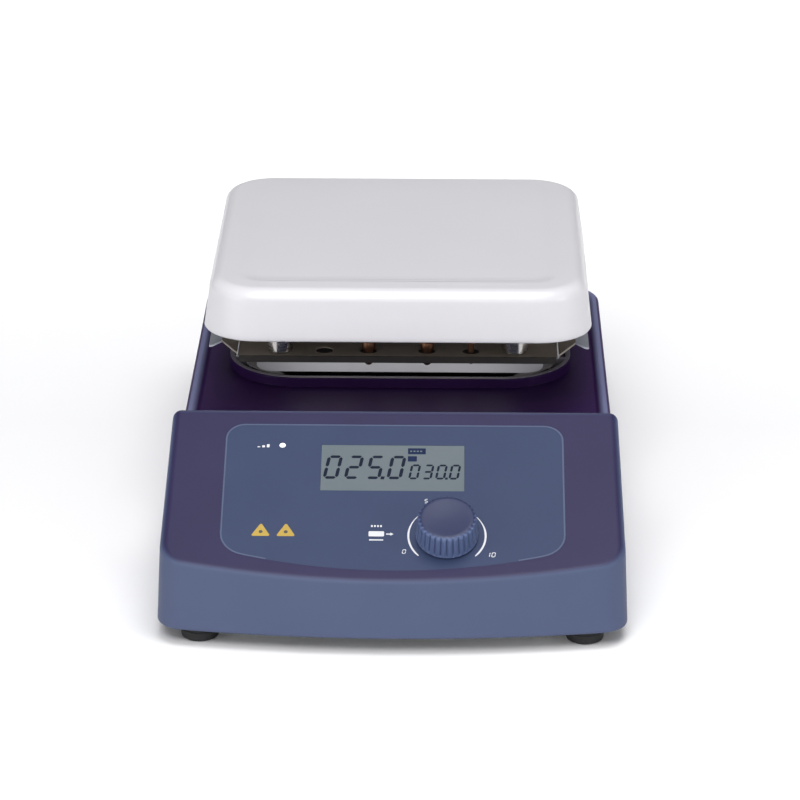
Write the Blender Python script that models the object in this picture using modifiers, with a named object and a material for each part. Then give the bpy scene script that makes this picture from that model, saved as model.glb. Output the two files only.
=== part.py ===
"""Heated magnetic stirrer: a square white hotplate over a low cast housing with a sloping console.

The instrument stands on four rubber feet, its console faces -Y and its plate lies level at the top.
Every length below is in millimetres, in the instrument's own frame: the origin is on the bench at the
middle of the outline, +X to the right of a person at the console, +Y to the rear, +Z up.
"""
import bpy
import bmesh
from math import asin, cos, pi, radians, sin, tan
from mathutils import Matrix, Vector

MM = 0.001
GAP = 0.3                     # clearance between neighbouring pieces

# Housing
FRONT_Y = -178.5              # foremost point of the console
REAR_Y = 177.0                # rear wall of the housing
SHELL_BOTTOM = 7.5            # lower edge of the painted shells
HOUSING_HALF_W = 102.4
HOUSING_FRONT_Y = -78.5
HOUSING_WALL = 3.0
REAR_CORNER_R = 25.0
RIM_TOP = 50.0
RIM_WIDTH = 4.0
DECK_TOP = 46.0
DECK_UNDER = 43.0
COLLAR_HALF_W = 85.5
COLLAR_FRONT_Y = 31.5
COLLAR_REAR_Y = 165.0
COLLAR_R = 36.0
COLLAR_TOP = 51.0
COLLAR_WALL = 2.0

# Console
CONSOLE_REAR_Y = -79.0
CONSOLE_HALF_W = 105.0        # at its lower edge
CONSOLE_WALL = 2.5
CONSOLE_SIDE_DRAFT = 3.0 / 70.5
CONSOLE_FRONT_DRAFT = 0.16
FRONT_BOW = 8.0               # how far the front bulges past its corners
FRONT_BOW_HALF_W = 93.0
FRONT_CORNER_R = 13.0
PANEL_TILT = radians(26.0)
CREST = (-83.5, 78.4)         # y and z of the upper end of the sloping panel
CREST_R = 4.0

# Control panel: x across, s down the slope from the crest, n out of the panel
OVERLAY_HALF_W = 77.0
OVERLAY_TOP_S = 8.0
OVERLAY_CORNER_S = 85.5
OVERLAY_BOTTOM_S = 95.0
OVERLAY_T = 0.6
OVERLAY_TOP_R = 9.0
OVERLAY_BOTTOM_R = 13.0
WINDOW_X = -0.6
WINDOW_HALF_W = 32.5
WINDOW_S = (20.6, 48.2)
KNOB_X = 24.2
KNOB_S = 74.5
KNOB_R = 14.0
KNOB_CAP_R = 13.2
KNOB_HEIGHT = 11.5
LED_X = -50.9
LED_S = 21.0
BOARD_N = -11.2               # underside of the control board

# Plate and what carries it
PLATE_Y = 60.0                # plate centre, also the stirring axis
PLATE_HALF = 92.5
PLATE_TOP = 118.0
SKIRT_BOTTOM = 93.8
PLATE_CORNER_R = 26.0
PLATE_EDGE_R = 7.0
PLATE_DRAFT = 3.6             # how much narrower the plate is at its top, each side
PLATE_WALL = 4.0
SHIELD_TOP = 81.2
SHIELD_T = 1.0
SHIELD_HALF_D = 79.0
SHIELD_FLAT_HALF_W = 76.0
SHIELD_HALF_W = 92.8
SHIELD_DROP = 6.2             # folded down at each side, then flared
SHIELD_LEDGE_X = 86.0
FOLD_RUN = 1.5
WING_FALL = 3.5
WING_SLANT = 0.45             # share of the shortening that is cut at a slant
WING_Y = (19.0, 131.0)        # the flared wings are shorter than the sheet between them
LEAD_X = (-35.0, -14.0, 14.0, 35.0)
LEAD_Y = -10.5
LEAD_HOLE_R = 4.5
POST_X = 56.0
POST_Y = 71.0                 # posts stand this far in front of and behind the plate centre
POST_R = 6.0
POST_HOLE_R = 2.3
POST_SCREW_R = 2.0
SCREW_HEAD_R = 3.7
BOSS_R = 7.0
BOSS_LOW = 99.0               # lower end of the bosses cast under the plate
PILLAR_X = 60.0
PILLAR_Y = (66.0, 112.0)
PILLAR_R = 5.0
PILLAR_HOLE_R = 1.9
DRIVE_HOLE_R = 9.0            # the stirring shaft passes the shield here
LEAD_REAR_Y = 72.0            # the leads go down into the deck here
LEAD_LEVEL = 75.0             # and run back at this height, beneath the shield
LEAD_BEND = 3.5
LEAD_TOP = 90.6
LEAD_R = 2.2
SENSOR_LEAD_R = 1.5
SENSOR_TIP_Z = 97.0
TRAY_TOP = 50.4
TRAY_HALF_W = 71.2
TRAY_R = 15.0
TRAY_Y = (37.5, 159.0)

# Stirring drive
SHAFT_R = 3.0
MOTOR_R = 25.0
MOTOR_Z = (13.5, 38.0)
MOTOR_EAR_X = 31.0
CARRIER_R = 40.0
CARRIER_Z = 83.0
MAGNET_X = 26.0

# Underside and rear
FOOT_X = 86.0
FOOT_Y = (-158.0, 150.0)
FOOT_R = 8.5
FOOT_HEIGHT = 8.7
COVER_Z = (9.0, 10.6)
COVER_HALF_W = 97.5
COVER_PASSAGE = ((-98.0, -84.0, 6.0), (98.0, -73.0, 10.9))   # where the cover runs under both walls
INLET_X = -52.0
SWITCH_X = -12.0
SENSOR_X = 45.0
REAR_PARTS_Z = 27.5

COLOURS = {
    "housing_paint": ((0.055, 0.030, 0.110), 0.35, 0.0),
    "console_paint": ((0.085, 0.090, 0.190), 0.40, 0.0),
    "overlay_film": ((0.077, 0.100, 0.184), 0.45, 0.0),
    "plate_enamel": ((0.72, 0.71, 0.74), 0.22, 0.0),
    "knob_plastic": ((0.074, 0.108, 0.194), 0.50, 0.0),
    "display_glass": ((0.178, 0.231, 0.254), 0.15, 0.0),
    "shield_steel": ((0.050, 0.048, 0.048), 0.45, 0.6),
    "tray_steel": ((0.26, 0.25, 0.30), 0.40, 0.7),
    "polished_steel": ((0.62, 0.61, 0.60), 0.18, 1.0),
    "zinc_steel": ((0.45, 0.45, 0.44), 0.40, 1.0),
    "copper": ((0.42, 0.17, 0.07), 0.35, 1.0),
    "element_sheath": ((0.22, 0.20, 0.18), 0.45, 0.9),
    "mineral_fibre": ((0.62, 0.57, 0.48), 0.95, 0.0),
    "aluminium": ((0.60, 0.61, 0.62), 0.35, 1.0),
    "magnet_nickel": ((0.50, 0.48, 0.44), 0.25, 1.0),
    "rubber": ((0.015, 0.015, 0.016), 0.80, 0.0),
    "black_plastic": ((0.020, 0.020, 0.022), 0.50, 0.0),
    "board_laminate": ((0.020, 0.130, 0.050), 0.45, 0.0),
    "lens_white": ((0.80, 0.80, 0.78), 0.25, 0.0),
}


# ---------------------------------------------------------------- helpers

def clear_scene():
    for obj in list(bpy.data.objects):
        bpy.data.objects.remove(obj, do_unlink=True)


def make_collection(name):
    collection = bpy.data.collections.new(name)
    bpy.context.scene.collection.children.link(collection)
    return collection


def make_material(name):
    colour, roughness, metallic = COLOURS[name]
    mat = bpy.data.materials.new(name)
    mat.use_nodes = True
    shader = mat.node_tree.nodes["Principled BSDF"]
    shader.inputs["Base Color"].default_value = (*colour, 1.0)
    shader.inputs["Roughness"].default_value = roughness
    shader.inputs["Metallic"].default_value = metallic
    mat.diffuse_color = (*colour, 1.0)
    return mat


def mm(*point):
    return Vector(point) * MM


def add_object(name, mesh, material=None):
    """Link a mesh as a part, or as a cutter where it has no material."""
    obj = bpy.data.objects.new(name, mesh)
    if material is None:
        cutters.objects.link(obj)
        obj.hide_render = True
        obj.display_type = "WIRE"
    else:
        parts.objects.link(obj)
        mesh.materials.append(materials[material])
    return obj


def finish_mesh(name, bm):
    mesh = bpy.data.meshes.new(name)
    bmesh.ops.recalc_face_normals(bm, faces=bm.faces)
    bm.to_mesh(mesh)
    bm.free()
    return mesh


def shade_round(obj):
    obj.data.shade_smooth()
    obj.data.set_sharp_from_angle(angle=radians(35))


def add_box(bm, low, high):
    """Add a box between two corners to a mesh under construction."""
    low, high = Vector(low), Vector(high)
    size = Matrix.Diagonal((*(high - low), 1.0))
    place = Matrix.Translation((low + high) / 2)
    return bmesh.ops.create_cube(bm, size=1.0, matrix=Matrix.Scale(MM, 4) @ place @ size)["verts"]


def add_cylinder(bm, radius, low, high, segments=24):
    """Add an upright cylinder, low and high being (x, y, z) on one axis."""
    height = high[2] - low[2]
    middle = ((low[0] + high[0]) / 2, (low[1] + high[1]) / 2, (low[2] + high[2]) / 2)
    bmesh.ops.create_cone(bm, cap_ends=True, segments=segments, radius1=radius * MM,
                          radius2=radius * MM, depth=height * MM,
                          matrix=Matrix.Translation(mm(*middle)))


def boxes(name, corners, material=None):
    bm = bmesh.new()
    for low, high in corners:
        add_box(bm, low, high)
    return add_object(name, finish_mesh(name, bm), material)


def cylinders(name, rods, material=None, segments=24):
    """One object of upright cylinders, each given as radius, x, y, z_low, z_high."""
    bm = bmesh.new()
    for radius, x, y, z_low, z_high in rods:
        add_cylinder(bm, radius, (x, y, z_low), (x, y, z_high), segments)
    obj = add_object(name, finish_mesh(name, bm), material)
    shade_round(obj)
    return obj


def turned(name, profile, material=None, at=(0.0, 0.0, 0.0), segments=28):
    """A turned piece: profile is (radius, height) pairs, down the outside and back up the inside."""
    mesh = bpy.data.meshes.new(name)
    points = [(radius * MM, 0.0, height * MM) for radius, height in profile]
    edges = [(i, i + 1) for i in range(len(points) - 1)]
    if profile[0][0] > 0:
        edges.append((len(points) - 1, 0))
    mesh.from_pydata(points, edges, [])
    obj = add_object(name, mesh, material)
    obj.location = mm(*at)
    turn = obj.modifiers.new("Turn", "SCREW")
    turn.steps = turn.render_steps = segments
    turn.use_merge_vertices = True
    turn.merge_threshold = 0.00001
    turn.use_smooth_shade = True
    return obj


def fillet(corners, steps=6):
    """Points of a polygon whose corners (x, y, radius) are rounded with arcs."""
    points = []
    count = len(corners)
    for i, (x, y, radius) in enumerate(corners):
        corner = Vector((x, y))
        if radius <= 0:
            points.append((x, y))
            continue
        before = (Vector(corners[i - 1][:2]) - corner).normalized()
        after = (Vector(corners[(i + 1) % count][:2]) - corner).normalized()
        half_angle = before.angle(after) / 2
        centre = corner + (before + after).normalized() * (radius / sin(half_angle))
        start = corner + before * (radius / tan(half_angle)) - centre
        end = corner + after * (radius / tan(half_angle)) - centre
        turn = start.angle_signed(end)
        for k in range(steps + 1):
            arm = start.copy()
            arm.rotate(Matrix.Rotation(-turn * k / steps, 2))
            points.append(tuple(centre + arm))
    return points


def rounded_rectangle(x_low, x_high, y_low, y_high, radius, steps=6):
    return fillet([(x_low, y_low, radius), (x_high, y_low, radius),
                   (x_high, y_high, radius), (x_low, y_high, radius)], steps)


def circle(x, y, radius, segments=20):
    return [(x + radius * cos(2 * pi * k / segments), y + radius * sin(2 * pi * k / segments))
            for k in range(segments)]


def plate(name, loops, z_low, z_high, material=None):
    """A flat piece cut to an outline, the first loop, with the other loops as holes."""
    curve = bpy.data.curves.new(name, "CURVE")
    curve.dimensions = "2D"
    curve.fill_mode = "BOTH"
    curve.extrude = (z_high - z_low) / 2 * MM
    for loop in loops:
        spline = curve.splines.new("POLY")
        spline.points.add(len(loop) - 1)
        spline.use_cyclic_u = True
        for point, (x, y) in zip(spline.points, loop):
            point.co = (x * MM, y * MM, 0.0, 1.0)
    return curve_to_part(name, curve, material, Matrix.Translation(mm(0, 0, (z_low + z_high) / 2)))


def tube(name, route, radius, material):
    """A round bar or wire along a route of points."""
    curve = bpy.data.curves.new(name, "CURVE")
    curve.dimensions = "3D"
    curve.bevel_depth = radius * MM
    curve.bevel_resolution = 2
    curve.use_fill_caps = True
    spline = curve.splines.new("POLY")
    spline.points.add(len(route) - 1)
    for point, place in zip(spline.points, route):
        point.co = (*(c * MM for c in place), 1.0)
    obj = curve_to_part(name, curve, material, Matrix.Identity(4))
    shade_round(obj)
    return obj


def curve_to_part(name, curve, material, shift):
    guide = bpy.data.objects.new(name + "_outline", curve)
    bpy.context.scene.collection.objects.link(guide)
    graph = bpy.context.evaluated_depsgraph_get()
    mesh = bpy.data.meshes.new_from_object(guide.evaluated_get(graph))
    bpy.data.objects.remove(guide, do_unlink=True)
    bm = bmesh.new()
    bm.from_mesh(mesh)
    bpy.data.meshes.remove(mesh)
    bmesh.ops.remove_doubles(bm, verts=bm.verts, dist=0.000001)
    bmesh.ops.transform(bm, matrix=shift, verts=bm.verts)
    return add_object(name, finish_mesh(name, bm), material)


def side_prism(name, outline, x_low, x_high):
    """A cutter whose outline is drawn in y and z and runs across the instrument."""
    obj = plate(name, [outline], x_low, x_high)
    obj.data.transform(Matrix(((0, 0, 1, 0), (1, 0, 0, 0), (0, 1, 0, 0), (0, 0, 0, 1))))
    return obj


def boolean(obj, tool, operation="DIFFERENCE"):
    step = obj.modifiers.new(tool.name, "BOOLEAN")
    step.operation = operation
    step.solver = "EXACT"
    step.object = tool
    return obj


def on_panel(obj, x=0.0, s=0.0):
    """Stand an object on the sloping panel, its +Z out of the panel and its +Y up the slope."""
    obj.location = mm(x, CREST[0] - s * cos(PANEL_TILT), CREST[1] - s * sin(PANEL_TILT))
    obj.rotation_euler = (PANEL_TILT, 0.0, 0.0)
    return obj


def on_rear(obj, x):
    """Stand an object on the rear wall, its +Z out of the wall and its +Y up."""
    obj.matrix_world = Matrix.Translation(mm(x, REAR_Y, REAR_PARTS_Z)) @ Matrix(
        ((-1, 0, 0, 0), (0, 0, 1, 0), (0, 1, 0, 0), (0, 0, 0, 1)))
    return obj


def axis_empty(name, at):
    empty = bpy.data.objects.new(name, None)
    empty.location = mm(*at)
    empty.empty_display_size = 0.02
    parts.objects.link(empty)
    return empty


def corner_places(half_x, y_pair):
    """The four places (suffix, x, y) of a set that repeats at left, right, front and rear."""
    return [(f"{fore}_{side}", sign * half_x, y)
            for fore, y in zip(("front", "rear"), y_pair)
            for side, sign in (("left", -1), ("right", 1))]


def screw(name, x, y, head_z, tip_z, head_r, shank_r, head_h=2.0):
    """A pan-head screw whose head starts at head_z and whose tip is at tip_z, above or below."""
    way = 1 if tip_z > head_z else -1
    under = head_z + way * head_h
    profile = [(0, head_z), (head_r * 0.8, head_z), (head_r, head_z + way * 0.5), (head_r, under),
               (shank_r, under), (shank_r, tip_z - way * 0.8), (shank_r * 0.6, tip_z), (0, tip_z)]
    if way > 0:
        profile.reverse()
    return turned(name, profile, "zinc_steel", (x, y, 0), segments=12)


# ---------------------------------------------------------------- console

def console_plan(inset):
    """Outline of the console from above: straight sides and a bowed front with round corners."""
    half_w = CONSOLE_HALF_W - inset
    front = FRONT_Y + inset

    def front_y(x):
        return front + FRONT_BOW * (x / FRONT_BOW_HALF_W) ** 2

    corner_r = FRONT_CORNER_R - inset
    bow = [(x, front_y(x), 0) for x in range(-80, 81, 16)]
    rear = CONSOLE_REAR_Y + 5
    corners = [(-half_w, rear, 0), (-half_w, front_y(half_w), corner_r), *bow,
               (half_w, front_y(half_w), corner_r), (half_w, rear, 0)]
    return fillet(corners)


def panel_height(y, depth=0.0):
    """Height of the sloping panel at y, or of a surface so far below it."""
    return CREST[1] + (y - CREST[0]) * tan(PANEL_TILT) - depth / cos(PANEL_TILT)


def console_solid(name, inset, z_low, material=None):
    """The console's wedge, cut to the slope and to its rear face; inset gives the hollow."""
    solid = plate(name, [console_plan(inset)], z_low, 100.0, material)
    for vertex in solid.data.vertices:
        height = vertex.co.z - SHELL_BOTTOM * MM
        vertex.co.x *= 1 - height / MM * CONSOLE_SIDE_DRAFT / CONSOLE_HALF_W
        if vertex.co.y < -0.1:
            vertex.co.y += height * CONSOLE_FRONT_DRAFT
    rear = CONSOLE_REAR_Y - inset
    far = -200.0
    slope = fillet([(rear, z_low - 1, 0), (rear, panel_height(rear, inset), CREST_R - inset / 2),
                    (far, panel_height(far, inset), 0), (far, z_low - 1, 0)])
    boolean(solid, side_prism(name + "_slope", slope, -120, 120), "INTERSECT")
    return solid


def overlay_outline(shrink):
    """Outline of the recess for the printed overlay, in panel x and y, y being -s."""
    half_w = OVERLAY_HALF_W - shrink
    sag = OVERLAY_BOTTOM_S - OVERLAY_CORNER_S
    reach = OVERLAY_HALF_W - 6.5

    def bottom(x):
        return -(OVERLAY_BOTTOM_S - shrink - sag * (x / reach) ** 2)

    arc = [(x, bottom(x), 0) for x in range(-60, 61, 12)]
    top = -(OVERLAY_TOP_S + shrink)
    top_r, bottom_r = OVERLAY_TOP_R - shrink, OVERLAY_BOTTOM_R - shrink
    corners = [(half_w, top, top_r), (-half_w, top, top_r),
               (-half_w, bottom(half_w), bottom_r), *arc, (half_w, bottom(half_w), bottom_r)]
    return fillet(corners, steps=4)


def build_console():
    shell = console_solid("console_shell", 0.0, SHELL_BOTTOM, "console_paint")
    boolean(shell, console_solid("console_hollow", CONSOLE_WALL, SHELL_BOTTOM - 1))
    bosses = [(5.0, sign * FOOT_X, FOOT_Y[0], COVER_Z[1] + GAP, 37.0) for sign in (-1, 1)]
    boolean(shell, cylinders("console_bosses", bosses, segments=16), "UNION")
    holes = [(2.3, sign * FOOT_X, FOOT_Y[0], COVER_Z[1], 20.0) for sign in (-1, 1)]
    boolean(shell, cylinders("console_boss_holes", holes, segments=12))
    recess = plate("overlay_recess", [overlay_outline(0.0)], -OVERLAY_T - GAP, 3.0)
    boolean(shell, on_panel(recess))
    top, bottom = WINDOW_S
    window = boxes("window_cut", [((-WINDOW_HALF_W, -bottom, -6), (WINDOW_HALF_W, -top, 3))])
    boolean(shell, on_panel(window, WINDOW_X))
    holes = [(3.9, KNOB_X, -KNOB_S, -6, 3), (2.2, LED_X, -LED_S, -6, 3)]
    boolean(shell, on_panel(cylinders("panel_holes", holes, segments=16)))
    boolean(shell, boxes("console_cable_way", [((-40, -85, 16), (40, -76, 38)), COVER_PASSAGE]))
    return shell


def build_panel():
    top, bottom = WINDOW_S
    left, right = WINDOW_X - WINDOW_HALF_W, WINDOW_X + WINDOW_HALF_W
    window = [(left, -bottom), (right, -bottom), (right, -top), (left, -top)]
    loops = [overlay_outline(GAP), window, circle(KNOB_X, -KNOB_S, 7.0), circle(LED_X, -LED_S, 2.2)]
    on_panel(plate("panel_overlay", loops, -OVERLAY_T, 0.0, "overlay_film"))

    low = (-WINDOW_HALF_W + GAP, -bottom + GAP, -3.0)
    high = (WINDOW_HALF_W - GAP, -top - GAP, -0.1)
    on_panel(boxes("display_window", [(low, high)], "display_glass"), WINDOW_X)
    low = (-WINDOW_HALF_W - 4, -bottom - 3, -8.5)
    high = (WINDOW_HALF_W + 4, -top + 3, -3.3)
    on_panel(boxes("display_module", [(low, high)], "black_plastic"), WINDOW_X)

    lens = turned("heat_led", [(0, 0.3), (1.2, 0.1), (1.8, -0.4), (1.8, -9.2), (0, -9.2)],
                  "lens_white", segments=16)
    on_panel(lens, LED_X, LED_S)

    loops = [fillet([(-72, -86, 3), (72, -86, 3), (72, -12, 3), (-72, -12, 3)], 3)]
    on_panel(plate("control_board", loops, BOARD_N, BOARD_N + 1.6, "board_laminate"))

    build_encoder()


def build_encoder():
    """A push-and-turn encoder: body and bushing, nut, shaft, the plunger under it, and the knob."""
    body = boxes("encoder_body", [((-6.2, -6.6, -9.3), (6.2, 6.6, -2.9))], "black_plastic")
    on_panel(body, KNOB_X, KNOB_S)
    collar = cylinders("encoder_bushing", [(3.6, 0, 0, -4.0, 3.6)], segments=20)
    boolean(body, on_panel(collar, KNOB_X, KNOB_S), "UNION")
    bore = cylinders("encoder_bore", [(3.25, 0, 0, -8.7, 5.0)], segments=20)
    boolean(body, on_panel(bore, KNOB_X, KNOB_S))

    nut = plate("encoder_nut", [circle(0, 0, 6.2, 6), circle(0, 0, 3.9)], -0.6, 1.4, "zinc_steel")
    on_panel(nut, KNOB_X, KNOB_S)
    plunger = turned("encoder_plunger", [(0, -6.7), (2.9, -6.7), (2.9, -7.7), (0, -7.7)],
                     "black_plastic", segments=20)
    on_panel(plunger, KNOB_X, KNOB_S)
    shaft = turned("encoder_shaft", [(0, 9.6), (2.5, 9.6), (2.95, 9.1), (2.95, -6.4), (0, -6.4)],
                   "aluminium", segments=20)
    on_panel(shaft, KNOB_X, KNOB_S)

    foot = 1.0
    top = foot + KNOB_HEIGHT
    profile = [(0, top - 0.7), (8.0, top - 0.5), (KNOB_CAP_R - 1.6, top), (KNOB_CAP_R - 0.4, top - 0.4),
               (KNOB_CAP_R, top - 1.6), (KNOB_R, foot), (KNOB_R - 2.2, foot), (KNOB_R - 2.4, top - 3.0),
               (5.6, top - 3.0), (5.6, foot + 3.5), (3.25, foot + 3.5), (3.25, top - 2.0), (0, top - 2.0)]
    on_panel(turned("knob", profile, "knob_plastic", segments=32), KNOB_X, KNOB_S)


# ---------------------------------------------------------------- housing

def housing_outline(inset):
    half_w = HOUSING_HALF_W - inset
    corner_r = REAR_CORNER_R - inset
    front = HOUSING_FRONT_Y + inset
    return fillet([(-half_w, front, 0), (half_w, front, 0),
                   (half_w, REAR_Y - inset, corner_r), (-half_w, REAR_Y - inset, corner_r)], 7)


def collar_outline(inset):
    return rounded_rectangle(-COLLAR_HALF_W + inset, COLLAR_HALF_W - inset, COLLAR_FRONT_Y + inset,
                             COLLAR_REAR_Y - inset, COLLAR_R - inset, 8)


def pillar_places():
    return corner_places(PILLAR_X, PILLAR_Y)


def build_housing():
    shell = plate("rear_housing", [housing_outline(0)], SHELL_BOTTOM, RIM_TOP, "housing_paint")
    hollow = plate("housing_hollow", [housing_outline(HOUSING_WALL)], SHELL_BOTTOM - 1, DECK_UNDER)
    boolean(shell, hollow)

    # The deck is sunk between two side rims and a rear one, and is open towards the console.
    half_w = HOUSING_HALF_W - RIM_WIDTH
    rear = REAR_Y - RIM_WIDTH
    corner_r = REAR_CORNER_R - RIM_WIDTH
    sunk = fillet([(-half_w, HOUSING_FRONT_Y - 2, 0), (half_w, HOUSING_FRONT_Y - 2, 0),
                   (half_w, rear, corner_r), (-half_w, rear, corner_r)], 7)
    boolean(shell, plate("deck_sink", [sunk], DECK_TOP, RIM_TOP + 1))

    collar = plate("collar_ring", [collar_outline(0), collar_outline(COLLAR_WALL)], DECK_TOP - 1, COLLAR_TOP)
    boolean(shell, collar, "UNION")
    pillar_rods = [(PILLAR_R, x, y, DECK_TOP - 1, SHIELD_TOP - SHIELD_T - GAP)
                   for _, x, y in pillar_places()]
    boss_rods = [(5.0, sign * FOOT_X, FOOT_Y[1], COVER_Z[1] + GAP, DECK_UNDER + 1) for sign in (-1, 1)]
    hub_rods = [(11.0, 0, PLATE_Y, 40.6, DECK_UNDER + 1)]
    hub_rods += [(4.0, sign * MOTOR_EAR_X, PLATE_Y, 38.7, DECK_UNDER + 1) for sign in (-1, 1)]
    boolean(shell, cylinders("housing_bosses", pillar_rods + boss_rods + hub_rods, segments=16), "UNION")

    holes = [(1.9, x, y, 66.0, 80.0) for _, x, y in pillar_places()]
    holes += [(2.3, sign * FOOT_X, FOOT_Y[1], COVER_Z[1], 20.0) for sign in (-1, 1)]
    holes += [(1.9, sign * MOTOR_EAR_X, PLATE_Y, 38.0, 44.9) for sign in (-1, 1)]
    holes += [(8.3, 0, PLATE_Y, 40.0, 45.2)]
    boolean(shell, cylinders("housing_blind_holes", holes, segments=14))
    holes = [(4.0, 0, PLATE_Y, 44.0, 48.0)]
    holes += [(4.0, x, LEAD_REAR_Y, 42.0, 48.0) for x in LEAD_X[1:]]
    boolean(shell, cylinders("deck_holes", holes, segments=16))

    openings = [((-40, -81, 16), (40, -74, 38)), ((-58, 34.3, 42), (58, 37.0, 48)), COVER_PASSAGE]
    openings += [((INLET_X - 14.3, 170, 16.3), (INLET_X + 14.3, 180, 38.7)),
                 ((SWITCH_X - 7.3, 170, 17.3), (SWITCH_X + 7.3, 180, 37.7))]
    boolean(shell, boxes("housing_openings", openings))
    bore = cylinders("sensor_bore", [(8.3, 0, 0, -9, 5)], segments=20)
    boolean(shell, on_rear(bore, SENSOR_X))
    return shell


def build_underside():
    outline = rounded_rectangle(-COVER_HALF_W, COVER_HALF_W, -165.5, 173.0, 21.0, 5)
    holes = [circle(x, y, 2.3, 12) for _, x, y in corner_places(FOOT_X, FOOT_Y)]
    slots = [fillet([(x - 2, y - 16, 2), (x + 2, y - 16, 2), (x + 2, y + 16, 2), (x - 2, y + 16, 2)], 2)
             for y in (-110, 115) for x in range(-40, 41, 16)]
    cover = plate("bottom_cover", [outline, *holes, *slots], *COVER_Z, "zinc_steel")
    standoffs = [(3.0, x, y, COVER_Z[0] + 0.5, 15.7) for x in (-52, 52) for y in (-58, 12)]
    boolean(cover, cylinders("board_standoffs", standoffs, segments=12), "UNION")

    for suffix, x, y in corner_places(FOOT_X, FOOT_Y):
        profile = [(FOOT_R, FOOT_HEIGHT), (FOOT_R, 1.3), (FOOT_R - 1.2, 0), (4.4, 0), (4.4, 3.2),
                   (2.3, 3.2), (2.3, FOOT_HEIGHT)]
        turned("foot_" + suffix, profile, "rubber", (x, y, 0), segments=18)
        screw("foot_screw_" + suffix, x, y, 0.9, 18.5, 3.7, 2.0)


# ---------------------------------------------------------------- plate stack

def build_plate():
    """The enamelled plate: a square cap, drafted and rounded, hollow below, with four bosses."""
    bm = bmesh.new()
    low = (-PLATE_HALF, PLATE_Y - PLATE_HALF, SKIRT_BOTTOM)
    high = (PLATE_HALF, PLATE_Y + PLATE_HALF, PLATE_TOP)
    add_box(bm, low, high)
    middle = Vector((0, PLATE_Y * MM, 0))
    shrink = 1 - PLATE_DRAFT / PLATE_HALF
    top_z = (PLATE_TOP - 1) * MM
    for vertex in [v for v in bm.verts if v.co.z > top_z]:
        vertex.co.x *= shrink
        vertex.co.y = middle.y + (vertex.co.y - middle.y) * shrink
    upright = [e for e in bm.edges if abs(e.verts[0].co.z - e.verts[1].co.z) > 10 * MM]
    bmesh.ops.bevel(bm, geom=upright, offset=PLATE_CORNER_R * MM, segments=7, profile=0.5,
                    affect="EDGES", clamp_overlap=False)
    bottom = [f for f in bm.faces if all(v.co.z < (SKIRT_BOTTOM + 1) * MM for v in f.verts)]
    bmesh.ops.delete(bm, geom=bottom, context="FACES")
    rim = [e for e in bm.edges if all(v.co.z > top_z for v in e.verts) and not e.is_boundary]
    bmesh.ops.bevel(bm, geom=rim, offset=PLATE_EDGE_R * MM, segments=3, profile=0.5, affect="EDGES",
                    clamp_overlap=False)
    cap = add_object("hot_plate", finish_mesh("hot_plate", bm), "plate_enamel")
    shade_round(cap)
    wall = cap.modifiers.new("Wall", "SOLIDIFY")
    wall.thickness = PLATE_WALL * MM
    wall.offset = -1.0
    wall.use_even_offset = True

    places = corner_places(POST_X, (PLATE_Y - POST_Y, PLATE_Y + POST_Y))
    under = PLATE_TOP - PLATE_WALL
    bosses = [(BOSS_R, x, y, BOSS_LOW, under + 1) for _, x, y in places]
    boolean(cap, cylinders("plate_bosses", bosses, segments=14), "UNION")
    holes = [(POST_HOLE_R, x, y, BOSS_LOW - 1, 107.0) for _, x, y in places]
    boolean(cap, cylinders("plate_boss_holes", holes, segments=12))

    for suffix, x, y in places:
        low_z, high_z = SHIELD_TOP + GAP, BOSS_LOW - GAP
        turned("post_" + suffix, [(POST_R, high_z), (POST_R, low_z), (POST_HOLE_R, low_z),
                                   (POST_HOLE_R, high_z)], "polished_steel", (x, y, 0), segments=20)
        head_z = SHIELD_TOP - SHIELD_T - GAP - 2.1
        screw("post_screw_" + suffix, x, y, head_z, 106.0, SCREW_HEAD_R, POST_SCREW_R)


def omega_route():
    """Route of the heating element: up from one terminal, round the plate and down at the other."""
    level = 108.0
    radius = 58.0
    gap_angle = asin(14.0 / radius)
    ring = []
    steps = 24
    for k in range(steps + 1):
        angle = -pi / 2 + gap_angle + (2 * pi - 2 * gap_angle) * k / steps
        ring.append((radius * cos(angle), PLATE_Y + radius * sin(angle), level))
    right, left = LEAD_X[2], LEAD_X[1]
    bend = 4.0

    def riser(x):
        """Points up a terminal and over into the ring's level."""
        arc = [(x, LEAD_Y + bend * (1 - cos(a)), level - bend + bend * sin(a))
               for a in (pi * k / 8 for k in range(5))]
        return [(x, LEAD_Y, 91.0), *arc]

    return riser(right) + ring[1:-1] + riser(left)[::-1]


def lead_route(x):
    """A stiff lead: down through the shield, back beneath it, and down behind into the deck."""
    top, under, bend = LEAD_TOP, LEAD_LEVEL, LEAD_BEND
    rear, bottom = LEAD_REAR_Y, DECK_TOP + 1.5
    front_arc = [(x, LEAD_Y + bend * (1 - cos(a)), under + bend * (1 - sin(a)))
                 for a in (pi * k / 8 for k in range(5))]
    rear_arc = [(x, rear - bend * (1 - sin(a)), under - bend * (1 - cos(a)))
                for a in (pi * k / 8 for k in range(5))]
    return [(x, LEAD_Y, top), *front_arc, *rear_arc, (x, rear, bottom)]


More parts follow.
